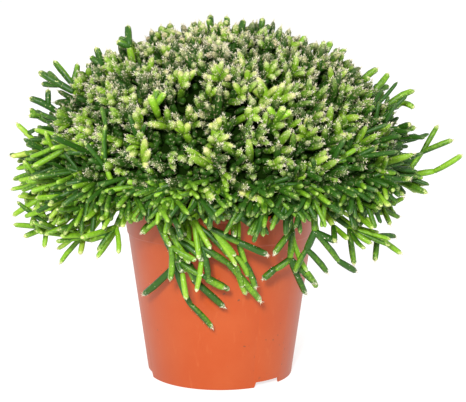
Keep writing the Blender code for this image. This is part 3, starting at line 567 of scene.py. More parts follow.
class PeatSettings(bpy.types.PropertyGroup):
    dark: colour_setting("Wet peat", "Darkest peat", 0.018, 0.011, 0.007)
    light: colour_setting("Dry peat", "Fibres and dry crumbs", 0.10, 0.062, 0.036)
    crumbs: count_setting("Crumbs", "Loose crumbs on the peat", 260, 0, 2000)
    crumb_size: length_setting("Crumb size", "Radius of a middling crumb", 0.0013, 0.0003, 0.005)


class FoliageSettings(bpy.types.PropertyGroup):
    # Painted light and shade: deep green is older segments and painted shade, fresh green is segments in
    # painted light, and the skirt's two greens likewise; the tone value mixes them.
    deep: colour_setting("Deep green", "Shaded, older segments", 0.015, 0.051, 0.004)
    fresh: colour_setting("Fresh green", "Segments in the light", 0.150, 0.285, 0.012)
    young: colour_setting("Young green", "New yellow-green growth", 0.40, 0.42, 0.115)
    skirt_deep: colour_setting("Skirt, deep green", "Older segments of the skirt", 0.018, 0.070, 0.004)
    skirt_fresh: colour_setting("Skirt, fresh green", "Skirt segments in the light", 0.166, 0.340, 0.012)
    skirt_young: colour_setting("Skirt, young green", "New growth of the skirt", 0.42, 0.48, 0.090)
    cream: colour_setting("Cream tip", "Woolly tips of the crown", 0.72, 0.66, 0.42)
    blush: colour_setting("Blushed tip", "Pinkish tips of the crown", 0.68, 0.52, 0.34)
    bristle: colour_setting("Bristle", "White bristles", 0.78, 0.72, 0.56)
    fuzz: colour_setting("Side bristle", "Duller bristles up the sides", 0.30, 0.42, 0.10)
    # Painted shade: the heart is a sheet painted near black, standing in for the deep shade between the
    # stems.
    heart: colour_setting("Heart", "The shaded heart of the crown", 0.0050, 0.0130, 0.0015)
    terminal_radius: length_setting("Terminal radius", "Half a crown segment's thickness",
                                    0.0022, 0.0005, 0.005)
    terminal_length: length_setting("Terminal length", "Length of a crown segment", 0.0096, 0.003, 0.03)
    fill_spacing: length_setting("Fill spacing", "Between the crown's deeper shoots", 0.0086, 0.004, 0.05)
    stub_spacing: length_setting("Stub spacing", "Between the short shoots on the heart", 0.0046, 0.002, 0.05)
    trailing_girth: number_setting("Trailing girth", "How much plumper the trailing stems are", 1.18, 0.5, 2)
    hanging: count_setting("Hanging", "Hanging shoots under each of the lowest crown stems", 42, 0, 200)


class StageSettings(bpy.types.PropertyGroup):
    distance: length_setting("Distance", "Camera to the pot's axis", 0.800, 0.1, 10)
    height: length_setting("Height", "Camera above the floor", 0.2319, 0, 5)
    tilt: number_setting("Tilt", "Camera looks down by this angle", 0.154, 0, 1.5, "ANGLE")
    lens: number_setting("Lens", "Focal length on a 36 mm sensor, in millimetres", 100.97, 10, 500)
    shift: number_setting("Shift", "Sideways shift of the frame", 0.0275, -0.2, 0.2)
    sky: number_setting("Sky", "Strength of the white surroundings", 0.90, 0, 10)
    glow: number_setting("Glow", "How much the floor shines like a light table", 0.62, 0, 2)
    key: number_setting("Key", "Power of the large soft light, in watts", 14.5, 0, 1000)
    floor: colour_setting("Floor", "Floor colour", 0.42, 0.42, 0.42)


class RhipsalisSettings(bpy.types.PropertyGroup):
    pot: PointerProperty(type=PotSettings)
    peat: PointerProperty(type=PeatSettings)
    foliage: PointerProperty(type=FoliageSettings)
    stage: PointerProperty(type=StageSettings)


class Recipe:
    """A material's node tree, written as a short recipe. Sockets are fed by outputs or by plain values.

    Its relief is a noise's scale and detail, and the bump's strength and distance.
    """

    def __init__(self, name, roughness, gloss=0.5, relief=None):
        self.material = bpy.data.materials.new(name)
        self.material.use_nodes = True
        self.tree = self.material.node_tree
        self.shader = self.tree.nodes["Principled BSDF"]
        self.place = self.node("TexCoord", {}).outputs["Object"]
        self.paint("Roughness", roughness)
        self.paint("Specular IOR Level", gloss)
        if relief:
            scale, detail, strength, distance = relief
            sockets = {"Height": self.noise(scale, detail), "Strength": strength, "Distance": distance}
            self.paint("Normal", self.node("Bump", sockets).outputs["Normal"])

    def feed(self, node, socket, value):
        """Set a node's socket."""
        target = node.inputs[socket]
        if isinstance(value, bpy.types.NodeSocket):
            self.tree.links.new(value, target)
        else:
            target.default_value = (*value, 1) if target.type == "RGBA" else value

    def paint(self, socket, value):
        """Set one of the shader's own sockets."""
        self.feed(self.shader, socket, value)

    def node(self, kind, sockets, **choices):
        """A new node with its choices made and its sockets fed."""
        node = self.tree.nodes.new("ShaderNode" + kind)
        for choice, value in choices.items():
            setattr(node, choice, value)
        for socket, value in sockets.items():
            self.feed(node, socket, value)
        return node

    def noise(self, scale, detail=3.0, roughness=0.6, stretch=None):
        """Noise on object coordinates, about 0 to 1."""
        place = self.place
        if stretch:
            place = self.node("Mapping", {"Vector": place, "Scale": stretch}).outputs["Vector"]
        sockets = {"Vector": place, "Scale": scale, "Detail": detail, "Roughness": roughness}
        return self.node("TexNoise", sockets).outputs["Fac"]

    def value(self, name):
        """A value that is kept on every point of the mesh."""
        return self.node("Attribute", {}, attribute_name=name).outputs["Fac"]

    def math(self, kind, first, second):
        """Two values put together."""
        return self.node("Math", {0: first, 1: second}, operation=kind).outputs[0]

    def blend(self, value, *parts):
        """A value with others added, each by its own weight."""
        for part, weight in parts:
            value = self.math("ADD", value, self.math("MULTIPLY", part, weight))
        return value

    def ramp(self, value, low, high, to_low=0.0, to_high=1.0):
        """A value spread smoothly between two limits."""
        sockets = {"Value": value, "From Min": low, "From Max": high, "To Min": to_low, "To Max": to_high}
        return self.node("MapRange", sockets, interpolation_type="SMOOTHSTEP").outputs["Result"]

    def mix(self, share, first, second):
        """Two colours mixed."""
        return self.node("Mix", {"Factor": share, 6: first, 7: second}, data_type="RGBA").outputs[2]

    def coloured(self, *mixed):
        """The finished material, in two colours mixed."""
        self.paint("Base Color", self.mix(*mixed))
        return self.material


def plastic(settings):
    """Terracotta plastic: satin, faintly mottled, scuffed, with a few specks of peat."""
    recipe = Recipe("terracotta plastic", settings.roughness, 0.38, (900, 2, 0.08, 0.0003))
    mottle = recipe.ramp(recipe.noise(38, 4), 0.35, 0.75)
    scuffs = recipe.ramp(recipe.noise(260, 2, stretch=(1, 1, 0.22)), 0.58, 0.74, 0, 0.5)
    wear = recipe.math("MAXIMUM", recipe.math("MULTIPLY", mottle, 0.35), scuffs)
    clean = recipe.mix(wear, settings.colour, settings.worn)
    speck = recipe.ramp(recipe.noise(420, 1, 0.4), 0.735, 0.765)
    patch = recipe.ramp(recipe.noise(24, 1), 0.48, 0.62)
    return recipe.coloured(recipe.math("MULTIPLY", speck, patch), clean, settings.dirt)


def peat(settings):
    """Damp peat with paler fibres."""
    recipe = Recipe("peat", 0.95, relief=(520, 5, 0.9, 0.0012))
    return recipe.coloured(recipe.ramp(recipe.noise(420, 5), 0.38, 0.72), settings.dark, settings.light)


# How the stems are painted: how much lighter a segment becomes along its length, partly its own yellower
# growth and partly painted shade at its base, what its tip is covered with, its gloss, where along it the tip
# begins, and the noise level above which it is flecked.
FINISHES = {
    "crown stem": (0.8, "wool", 0.08, 0.64, 0.61),
    "outer crown stem": (0.4, "pale", 0.24, 0.88, 0.68),
    "skirt stem": (0.4, "pale", 0.24, 0.86, 0.70),
    "trailing stem": (0.4, "bristle", 0.28, 0.88, 0.71),
}


def foliage(name, settings):
    """Segments: green by tone and painted shade, darker at their bases as painted shade, yellower towards
    their ends, with their ribs painted lighter as a highlight, flecked with areoles, and pale at the tips.
    """
    rise, tip, gloss, tip_from, specks = FINISHES[name]
    deep, fresh, young = settings.skirt_deep, settings.skirt_fresh, settings.skirt_young
    if name == "crown stem":
        deep, fresh, young = settings.deep, settings.fresh, settings.young
    recipe = Recipe(name, 0.42, gloss, (1100, 2, 0.3, 0.0004))
    ripe, along, fine = recipe.value("ripe"), recipe.value("along"), recipe.noise(900, 2)
    # Painted light and shade: the tone and the darker base are partly painted shade, and the ribs are a
    # painted highlight.
    shade = recipe.blend(recipe.value("tone"), (recipe.noise(260, 3), 0.7), (along, rise), (fine, 0.9),
                         (recipe.value("rib"), 0.34))
    green = recipe.mix(recipe.ramp(shade, 1.05, 2.1), deep, fresh)
    green = recipe.mix(recipe.ramp(shade, 1.95, 2.95), green, young)
    if tip == "wool":
        cover = recipe.mix(recipe.ramp(recipe.noise(90, 2), 0.38, 0.58), settings.cream, settings.blush)
    else:
        cover = recipe.mix(0.75, settings.bristle, young) if tip == "pale" else settings.bristle
    fleck = recipe.ramp(recipe.noise(800, 1, 0.4), specks, specks + 0.05)
    share = recipe.math("ADD", recipe.math("MULTIPLY", ripe, 0.6), 0.2)
    flecked = recipe.mix(recipe.math("MULTIPLY", fleck, share), green, cover)
    at_end = recipe.ramp(recipe.blend(along, (fine, 0.5)), tip_from + 0.25, 1.3)
    return recipe.coloured(recipe.math("MULTIPLY", at_end, ripe), flecked, cover)


def bristles(settings):
    """White bristles and wool at the tips, and duller ones up the sides."""
    recipe = Recipe("bristles", 0.6, 0.2)
    white = recipe.mix(recipe.ramp(recipe.noise(300, 2), 0.45, 0.70), settings.bristle, settings.cream)
    return recipe.coloured(recipe.value("ripe"), settings.fuzz, white)


def heart(settings):
    """The crown's heart, where the oldest stems run together, painted near black as the deep shade there."""
    recipe = Recipe("crown heart", 0.9, 0.0, (300, 4, 1.0, 0.0015))
    deep = [0.28 * level for level in settings.deep]
    return recipe.coloured(recipe.ramp(recipe.noise(420, 3), 0.50, 0.64), settings.heart, deep)


def floor_paint(settings):
    """Plain white floor, with a trace of grain."""
    recipe = Recipe("white floor", 0.9, 0.0)
    recipe.paint("Emission Color", (1, 1, 1))
    recipe.paint("Emission Strength", settings.glow)
    grain = [0.99 * level for level in settings.floor]
    return recipe.coloured(recipe.noise(40, 2), settings.floor, grain)


def add_object(name, mesh, finishes, smooth=True):
    """A mesh object at the origin, in the scene."""
    made = bpy.data.objects.new(name, mesh)
    bpy.context.scene.collection.objects.link(made)
    for finish in finishes:
        mesh.materials.append(finish)
    if smooth:
        mesh.shade_smooth()
    return made


def mesh_of(name, bm):
    """A mesh, from a bmesh that it uses up."""
    mesh = bpy.data.meshes.new(name)
    bm.to_mesh(mesh)
    bm.free()
    return mesh


BODY, BRISTLES, HEART_SHADE, LEAFY = range(4)    # places in a piece's list of finishes
VALLEY = 0.86                  # a segment's radius between its ribs, as a share of that on the ribs
CROWN_OUTLINE = [(0, 0.60), (0.14, 0.88), (0.46, 1.06), (0.78, 0.94), (0.93, 0.62), (0.985, 0.28)]
SKIRT_OUTLINE = [(0, 0.58), (0.05, 0.84), (0.30, 0.95), (0.68, 1.0), (0.93, 0.86), (0.985, 0.44)]
FILL_OUTLINE = [(0, 0.8), (0.4, 1.0), (0.85, 0.95)]
SPIRAL = 2.4                   # radians from one bristle to the next
WOOL = 11                      # bristles in a tip's wool
WOOL_LEAN = (6, 8.4)           # degrees, and more for each bristle
WOOL_DROP = (0.0004, 0.00026)  # below the tip, and more for each bristle
WOOL_SPREAD = 0.0009           # from the axis to the bristles' roots
WOOL_LENGTH = 0.0018
WOOL_WIDTH = 0.00052
WOOL_RISE = 0.25               # how much the bristles turn up again from where they root
BRISTLE_WIDTH = 0.26           # as a share of a single bristle's length


def on_rib(point, sides):
    """1 on every other corner round a segment, where it has a low rib that is also painted lighter as a
    highlight, and 0 on the corners between.
    """
    return (round(atan2(point[1], point[0]) / (2 * pi / sides)) + 1) % 2 if sides else 0


class Shape:
    """A small shape that is copied many times, with its height from 0 to 1 on each point."""

    def __init__(self, bm, finish=BODY, sides=0):
        bmesh.ops.recalc_face_normals(bm, faces=bm.faces)
        bm.verts.index_update()
        self.points = np.array([v.co for v in bm.verts])
        self.ribs = np.array([on_rib(point, sides) for point in self.points])
        self.corners = np.array([v.index for f in bm.faces for v in f.verts])
        self.sizes = np.array([len(f.verts) for f in bm.faces])
        self.finish = finish
        bm.free()


def segment_shape(outline, sides, finish=BODY):
    """A stem segment of length 1 and radius 1: a short cone drawn out ring by ring, and closed in a point."""
    bm = bmesh.new()
    (low, start_radius), (high, radius) = outline[:2]
    bmesh.ops.create_cone(bm, cap_ends=True, segments=sides, radius1=start_radius, radius2=radius,
                          depth=high - low, matrix=Matrix.Translation((0, 0, (high + low) / 2)))
    end = max(bm.faces, key=lambda face: face.calc_center_median().z)
    for height, wanted in outline[2:]:
        end = bmesh.ops.extrude_discrete_faces(bm, faces=[end])["faces"][0]
        bmesh.ops.translate(bm, verts=end.verts, vec=(0, 0, height - end.calc_center_median().z))
        bmesh.ops.scale(bm, verts=end.verts, vec=(wanted / radius, wanted / radius, 1))
        radius = wanted
    bmesh.ops.poke(bm, faces=[end])["verts"][0].co.z = 1
    bmesh.ops.scale(bm, verts=[v for v in bm.verts if on_rib(v.co, sides) < 0.5], vec=(VALLEY, VALLEY, 1))
    return Shape(bm, finish, sides)


def bristle_shape(places, width):
    """A group of bristles: three-sided spikes, each from a place on the segment, along a heading."""
    bm = bmesh.new()
    for root, heading, length in places:
        turn = Vector((0, 0, 1)).rotation_difference(heading.normalized()).to_matrix().to_4x4()
        place = Matrix.Translation(root + heading.normalized() * length / 2) @ turn
        bmesh.ops.create_cone(bm, cap_ends=True, segments=3, radius1=width / 2, radius2=0, depth=length,
                              matrix=place)
    bmesh.ops.remove_doubles(bm, verts=bm.verts, dist=width / 20)
    return Shape(bm, BRISTLES)


def tip_wool():
    """Wool at a tip: bristles that spread from a dome of about 2 mm."""
    places = []
    for number in range(WOOL):
        turn, lean = SPIRAL * number, radians(WOOL_LEAN[0] + WOOL_LEAN[1] * number)
        out = Vector((cos(turn) * sin(lean), sin(turn) * sin(lean), cos(lean)))
        root = out * WOOL_SPREAD - Vector((0, 0, WOOL_DROP[0] + WOOL_DROP[1] * number))
        places.append((root, out + Vector((0, 0, WOOL_RISE)), WOOL_LENGTH))
    return bristle_shape(places, WOOL_WIDTH)


def crumb_shape():
    """A lump of peat of radius 1, a little flattened."""
    bm = bmesh.new()
    bmesh.ops.create_icosphere(bm, subdivisions=1, radius=1.0)
    bmesh.ops.scale(bm, verts=bm.verts, vec=(1.0, 0.8, 0.7))
    shape = Shape(bm)
    shape.points[:, 2] += 0.5
    return shape


@functools.cache
def shapes():
    """The small shapes that the foliage and the crumbs are built of."""
    return {
        "crown": segment_shape(CROWN_OUTLINE, 6),
        "skirt": segment_shape(SKIRT_OUTLINE, 6),
        "fill": segment_shape(FILL_OUTLINE, 5),
        "leaf": segment_shape(SKIRT_OUTLINE, 6, LEAFY),
        "tip": tip_wool(),
        "bristle": bristle_shape([(Vector(), Vector((0, 0, 1)), 1.0)], BRISTLE_WIDTH),
        "crumb": crumb_shape(),
    }


ROLL = 6                       # radians at most that a copy is rolled about its length


def placed(shape, rows):
    """The points of a shape's copies. A row holds start, end, radius, tone, ripeness, roll and bow."""
    start, along = rows[:, 0:3], rows[:, 3:6] - rows[:, 0:3]
    radius, roll, bow = rows[:, 6:7], rows[:, 9:10], rows[:, 10:11]
    length = np.linalg.norm(along, axis=1, keepdims=True)
    axis = along / length
    helper = np.where(np.abs(axis[:, 2:3]) < 0.9, [[0.0, 0.0, 1.0]], [[1.0, 0.0, 0.0]])
    side = np.cross(axis, helper)
    side /= np.linalg.norm(side, axis=1, keepdims=True)
    other = np.cross(axis, side)
    turn, rise = np.cos(roll), np.sin(roll)
    side, other = side * turn + other * rise, other * turn - side * rise
    x, y, z = shape.points.T
    across = x * radius + bow * 4 * z * (1 - z) * length
    up = z * (radius if shape.finish == BRISTLES else length)
    return (start[:, None] + across[:, :, None] * side[:, None] + (y * radius)[:, :, None] * other[:, None]
            + up[:, :, None] * axis[:, None]).reshape(-1, 3)


class Copies:
    """Copies of the small shapes that make up one piece."""

    def __init__(self):
        self.held = {}

    def put(self, kind, start, end, radius, tone, ripe=0.0, roll=0.0, bow=0.0):
        """Stand a copy from start to end. The bow bends it sideways, as a share of its length."""
        self.held.setdefault(kind, []).append((*start, *end, radius, tone, ripe, roll, bow))

    def grow(self, kind, start, end, radius, tone, ripe, draw, bend):
        """Put a copy with a roll and a bow of its own."""
        self.put(kind, start, end, radius, tone, ripe, draw.uniform(0, ROLL), draw.uniform(-bend, bend))

    def mesh(self, name, extra=None):
        """All the copies as one mesh, and the crown's heart if it is given."""
        points, corners, sizes, finishes = [], [], [], []
        values = {"along": [], "tone": [], "ripe": [], "rib": []}
        count = 0
        for kind, rows in self.held.items():
            shape, rows = shapes()[kind], np.array(rows)
            each, many = len(shape.points), len(rows)
            points.append(placed(shape, rows))
            corners.append((shape.corners + count + each * np.arange(many)[:, None]).ravel())
            sizes.append(np.tile(shape.sizes, many))
            finishes.append(np.full(len(shape.sizes) * many, shape.finish))
            values["along"].append(np.tile(shape.points[:, 2].clip(0, 1), many))
            values["tone"].append(np.repeat(rows[:, 7], each))
            values["ripe"].append(np.repeat(rows[:, 8], each))
            values["rib"].append(np.tile(shape.ribs, many))
            count += each * many
        if extra:
            points.append(extra.points)
            corners.append(extra.corners + count)
            sizes.append(extra.sizes)
            finishes.append(np.full(len(extra.sizes), extra.finish))
            for parts in values.values():
                parts.append(np.zeros(len(extra.points)))
        return joined_mesh(name, points, corners, sizes, finishes, values)


def joined_mesh(name, points, corners, sizes, finishes, values):
    """One mesh from lists of arrays: points, faces' corners and sizes, finishes, and values on the points."""
    points, corners, sizes = np.concatenate(points), np.concatenate(corners), np.concatenate(sizes)
    mesh = bpy.data.meshes.new(name)
    mesh.vertices.add(len(points))
    mesh.vertices.foreach_set("co", points.astype(np.float32).ravel())
    mesh.loops.add(len(corners))
    mesh.polygons.add(len(sizes))
    mesh.polygons.foreach_set("loop_start", np.concatenate([[0], np.cumsum(sizes)[:-1]]).astype(np.int32))
    mesh.polygons.foreach_set("vertices", corners.astype(np.int32))
    mesh.polygons.foreach_set("material_index", np.concatenate(finishes).astype(np.int32))
    mesh.update(calc_edges=True)
    for label, parts in values.items():
        layer = mesh.attributes.new(label, "FLOAT", "POINT")
        layer.data.foreach_set("value", np.concatenate(parts).astype(np.float32))
    mesh.validate()
    return mesh


def leaning(axis, tilt, turn):
    """A heading tilted off an axis by one angle and turned about it by another."""
    side = axis.orthogonal().normalized()
    return (axis * cos(tilt) + (Matrix.Rotation(turn, 3, axis) @ side) * sin(tilt)).normalized()


# Ranges that are drawn from in place, from here on, only vary one copy from the next.
TIP_SIZE = 0.0019              # radius of a segment that a tip's wool fits as it is
TIP_WHITE = 0.25               # how white the least wool is
BRISTLE_LENGTH = (0.0012, 0.0011, 0.0007)    # on crown segments, on sprigs and on skirt segments
JOINT_BRISTLE = 0.0028
SPRIG_HAIRS = 8
SKIRT_HAIRS = (4, 3)           # bristles up the sides of skirt segments, and of their side segments
HAIRS_FROM = 0.12              # where along a segment its bristles begin, and over how much of it they go
HAIRS_OVER = 0.8
HAIR_ROOT = 0.8                # where they root, as a share of its radius
LAST_WOOL = 0.8                # size of the wool on a stem's or a sprig's last tip


def add_tip(copies, tip, heading, size, draw):
    """Wool on a tip, whiter the more there is."""
    if size > 0:
        copies.put("tip", tip, tip + heading, size, 0, min(1, TIP_WHITE + size), draw.uniform(0, ROLL))


def add_side_bristles(copies, start, end, radius, count, length, draw):
    """Single bristles wound up a segment."""
    axis = (end - start).normalized()
    span = (end - start).length
    for number in range(count):
        out = leaning(axis, pi / 2, SPIRAL * number + draw.uniform(-0.4, 0.4))
        root = start + axis * span * (HAIRS_FROM + HAIRS_OVER * number / count) + out * radius * HAIR_ROOT
        heading = (out + axis * draw.uniform(0.3, 0.9)).normalized()
        size, ripe = length * draw.uniform(0.8, 1.4), draw.uniform(0.1, 0.7)
        copies.put("bristle", root, root + heading, size, 0, ripe, draw.uniform(0, ROLL))


def add_joint(copies, at, axis, draw):
    """The pale bristles at a joint."""
    for bristle in range(2):
        heading = leaning(axis, draw.uniform(0.5, 1.3), draw.uniform(0, 2 * pi))
        copies.put("bristle", at, at + heading, JOINT_BRISTLE, 0, 1)


# The crown's look. A tone of about 1 is fresh green and of about 2 young green; below 0 it is deep green,
# painted shade.
CROWN_REACH = 0.109            # distance from the axis beyond which side shoots are kept short
CROWN_REACHES = [0.85, 1.0, 1.0, 1.15, 1.5]
CROWN_LEAN = 0.25              # how much longer the crown's segments are at the right than in the middle
CROWN_TONE = -0.18
CROWN_HAIRS = 6
FORK_BEFORE = 0.3              # segments begin before the fork that they grow from, and the one that carries
FORK_BEYOND = 0.6              # them ends beyond it, by these shares of their radius
LOW_FROM = 0.5                 # polar angle where the crown's look begins to change to that of its low parts
LOW_OVER = 0.8                 # and the angle over which it does
LOW_TONE = 0.60
LEAFY_FROM = 1.02              # polar angle from which the crown's segments are long and green, at the sides
LEAFY_IN_FRONT = 0.34          # how much lower that begins at the front and at the back
LEAFY_REACHES = [1.5, 1.9, 2.3, 2.9]
LEAFY_GIRTH = 0.72
LEAFY_HAIRS = 2
LEAFY_CONTRAST = 1.3
LEAFY_TONE = 0.26
LEAFY_SLOPE = 0.16             # painted light and shade: how much darker the green is from the left side to the right one, where leafy
LEAFY_SHADE = 0.50             # and painted shade: how much darker it is in front
SPRIG_STYLE = 0.8              # the sprigs look like the segments at this polar angle
SPRIG_GIRTH = 1.05             # a sprig's last segment against the crown's, and its side segments against it
SPRIG_SIDE_GIRTH = 0.9
SPRIG_SIDE_LENGTH = 0.6
SPRIG_TONE = 0.5
SPRIG_OVERRUN = 0.001          # how far a sprig's other segments reach into the next
VIGOUR = 0.32                  # how much the tone varies from tuft to tuft
VIGOUR_TONE = 0.14
SIDE_SHADE = 0.32              # painted shade: how much darker the green is at the crown's sides
FINGER_SHADE = 0.4             # painted shade: how much darker a segment is than the shoots at its end
FORK_FROM = 0.35               # the least share of a crown segment's length that lies before its fork
FILL_SHADE = 0.60              # painted shade: how much darker the fill's shoots are than the others, and their own stalks
FILL_STALK_SHADE = 0.3
FILL_HAIRS = 4
FILL_LEAN = (42, 28)           # degrees, and more where it is leafy in front
LOW_CROWD = (0.85, 1.6)        # polar angle from which the fill is denser, and by how much
CELL_MARGIN = 0.02             # radians from a cell's edge to the nearest fill
# Painted shade: the stubs' tones keep them in the deep green.
STUB_SHADE_TONES = (-1.2, -0.4)
HOLLOW_SIZE = 0.10             # across the dome, as a share of its size
HOLLOW_SHADE = 0.7             # painted shade: how much darker the green is in a hollow
HOLLOW_CLEARING = 1.4          # how much of the fill is left out there
HOLLOWS_BEHIND = 44
HOLLOWS_IN_FRONT = [           # polar angle and azimuth of each hollow between the tufts in front
    (1.10, -2.12), (1.12, -1.89), (1.14, -1.72), (1.01, -1.65), (1.34, -1.99), (1.29, -1.79),
    (1.37, -1.60), (1.15, -1.32), (1.15, -1.18), (1.12, -1.42), (1.19, -0.98), (1.01, -1.23),
    (1.01, -2.74), (0.85, -2.45), (1.43, -0.83), (1.38, -0.75), (0.70, -1.76), (0.53, -1.52),
    (0.60, -0.96), (0.74, -0.75), (0.93, -1.93), (1.31, -1.28), (1.33, -1.89), (1.29, -1.49),
]


def facing(polar, azimuth):
    """The direction at a polar angle and azimuth."""
    return Vector((sin(polar) * cos(azimuth), sin(polar) * sin(azimuth), cos(polar)))


@functools.cache
def hollows():
    """The hollows between the crown's tufts: those seen in front, and more around the rest."""
    places = [facing(polar, azimuth) for polar, azimuth in HOLLOWS_IN_FRONT]
    draw = random.Random("hollows")
    for number in range(HOLLOWS_BEHIND):
        places.append(facing(draw.uniform(0.25, 1.35), draw.uniform(-0.4, pi + 0.4)))
    return places


def hollow_at(polar, azimuth):
    """1 in the middle of a hollow, falling to 0 at its edge and beyond."""
    here = facing(polar, azimuth)
    return max(0.0, 1.0 - min((here - place).length for place in hollows()) / HOLLOW_SIZE)


def crown_style(polar, azimuth, draw):
    """How crown segments look at a place: short, pale and crowded on top, long and green low down."""
    low = min(1.0, max(0.0, (polar - LOW_FROM) / LOW_OVER))
    beside = abs(cos(azimuth)) * sin(polar)
    # Painted shade: the tone is lowered at the crown's sides and in its hollows.
    shade = HOLLOW_SHADE * hollow_at(polar, azimuth)
    vigour = draw.uniform(-VIGOUR, VIGOUR) - SIDE_SHADE * beside - shade + VIGOUR_TONE
    if polar + draw.uniform(-0.18, 0.18) > LEAFY_FROM + LEAFY_IN_FRONT * abs(sin(azimuth)):
        # Painted light and shade: leafy segments are lighter at the left, darker at the right and in front.
        tone = LEAFY_CONTRAST * vigour + LEAFY_TONE - LEAFY_SLOPE * cos(azimuth)
        tone -= LEAFY_SHADE * max(0.0, -sin(azimuth))
        return {"kind": "leaf", "shoots": [1, 2, 2, 3], "spread": (14, 50), "girth": LEAFY_GIRTH,
                "tone": tone, "ripe": 0.35, "hairs": LEAFY_HAIRS, "reach": draw.choice(LEAFY_REACHES),
                "tuft": draw.choice([0, 0.3, 0.42])}
    reach = (0.95 + 0.35 * low) * (1.0 + CROWN_LEAN * cos(azimuth) * sin(polar)) * draw.choice(CROWN_REACHES)
    return {"kind": "crown", "shoots": [3, 4, 4, 5] if low < 0.5 else [3, 3, 4], "reach": reach,
            "spread": (34 - 10 * low, 66 - 16 * low), "girth": 1.0,
            "tone": LOW_TONE * low + vigour + CROWN_TONE, "tuft": 1.0, "hairs": CROWN_HAIRS,
            "ripe": (1.0 - 0.45 * low) * (1.0 - 0.7 * beside) * draw.uniform(0.3, 0.9)}


def add_shoots(copies, fork, axis, style, draw, settings, first_tip=None):
    """The short segments that a crown segment forks into, each with a woolly tip."""
    first_turn = draw.uniform(0, 2 * pi)
    shoots = draw.choice(style["shoots"])
    full, reach = settings.terminal_length, style["reach"]
    for number in range(shoots):
        if number == 0:
            tip = first_tip or fork + axis * full * reach * draw.uniform(0.85, 1.1)
        else:
            turn = first_turn + 2 * pi * number / max(1, shoots - 1) + draw.uniform(-0.5, 0.5)
            heading = leaning(axis, radians(draw.uniform(*style["spread"])), turn)
            tip = fork + heading * full * reach * draw.uniform(0.72, 1.1)
            if np.hypot(tip.x, tip.y) > CROWN_REACH:
                tip = fork.lerp(tip, 0.5)
        heading = (tip - fork).normalized()
        radius = settings.terminal_radius * style["girth"] * draw.uniform(0.88, 1.12)
        tone = style["tone"] + draw.uniform(-0.22, 0.32)
        ripe = style["ripe"] * draw.uniform(0.6, 1.0)
        copies.grow(style["kind"], fork - heading * radius * FORK_BEFORE, tip, radius, tone, ripe, draw, 0.06)
        add_tip(copies, tip, heading, radius / TIP_SIZE * style["tuft"] * draw.uniform(0.7, 1.0), draw)
        add_side_bristles(copies, fork, tip, radius, style["hairs"], BRISTLE_LENGTH[0], draw)


def dress_sprig(copies, start, end, draw, settings):
    """A sprig's last segment: long and tapered, with a shorter one or two beside it."""
    axis = (end - start).normalized()
    length = (end - start).length
    style = crown_style(SPRIG_STYLE, atan2(end.y, end.x), draw)
    for number in range(draw.choice([2, 2, 3])):
        root, tip, radius = start, end, settings.terminal_radius * SPRIG_GIRTH
        if number:
            root = start + axis * length * draw.uniform(0.1, 0.45)
            heading = leaning(axis, radians(draw.uniform(32, 62)), draw.uniform(0, 2 * pi))
            tip = root + heading * length * SPRIG_SIDE_LENGTH
            radius *= SPRIG_SIDE_GIRTH
        heading = (tip - root).normalized()
        tone = style["tone"] + draw.uniform(0, 0.3)
        copies.grow("leaf", root - heading * radius * FORK_BEFORE, tip, radius, tone, 1.0, draw, 0.08)
        add_tip(copies, tip, heading, LAST_WOOL, draw)
        add_side_bristles(copies, root, tip, radius, SPRIG_HAIRS, BRISTLE_LENGTH[1], draw)


def dress_finger(copies, start, end, draw, settings):
    """A crown segment and the short segments that it forks into at its end."""
    axis = (end - start).normalized()
    length = (end - start).length
    polar = atan2(np.hypot(end.x, end.y), end.z - DOME_CENTRE)
    style = crown_style(polar, atan2(end.y, end.x), draw)
    fork = start + axis * max(length - settings.terminal_length * style["reach"], length * FORK_FROM)
    radius = settings.terminal_radius * draw.uniform(0.92, 1.08)
    # Painted shade: the segment is darker than the shoots at its end.
    tone = style["tone"] - FINGER_SHADE
    copies.grow("crown", start, fork + axis * radius * FORK_BEYOND, radius, tone, 0.0, draw, 0.04)
    add_shoots(copies, fork, axis, style, draw, settings, first_tip=end)


def within(cell, draw):
    """A place drawn evenly over a cell, as a polar angle and an azimuth."""
    margin, half = (0, pi) if cell.whole else (CELL_MARGIN, cell.width / 2 - CELL_MARGIN)
    polar = np.arccos(draw.uniform(cos(cell.high - CELL_MARGIN), cos(cell.low + margin)))
    return polar, cell.azimuth + draw.uniform(-half, half)


def stalk_and_shoots(copies, root, fork, axis, style, draw, settings):
    """A plain stalk from the heart, and the shoots at its end."""
    radius = settings.terminal_radius * draw.uniform(0.9, 1.05)
    # Painted shade: the stalk is darker than its shoots.
    copies.put("fill", root, fork + axis * radius * FORK_BEYOND, radius, style["tone"] - FILL_STALK_SHADE)
    add_shoots(copies, fork, axis, style, draw, settings)


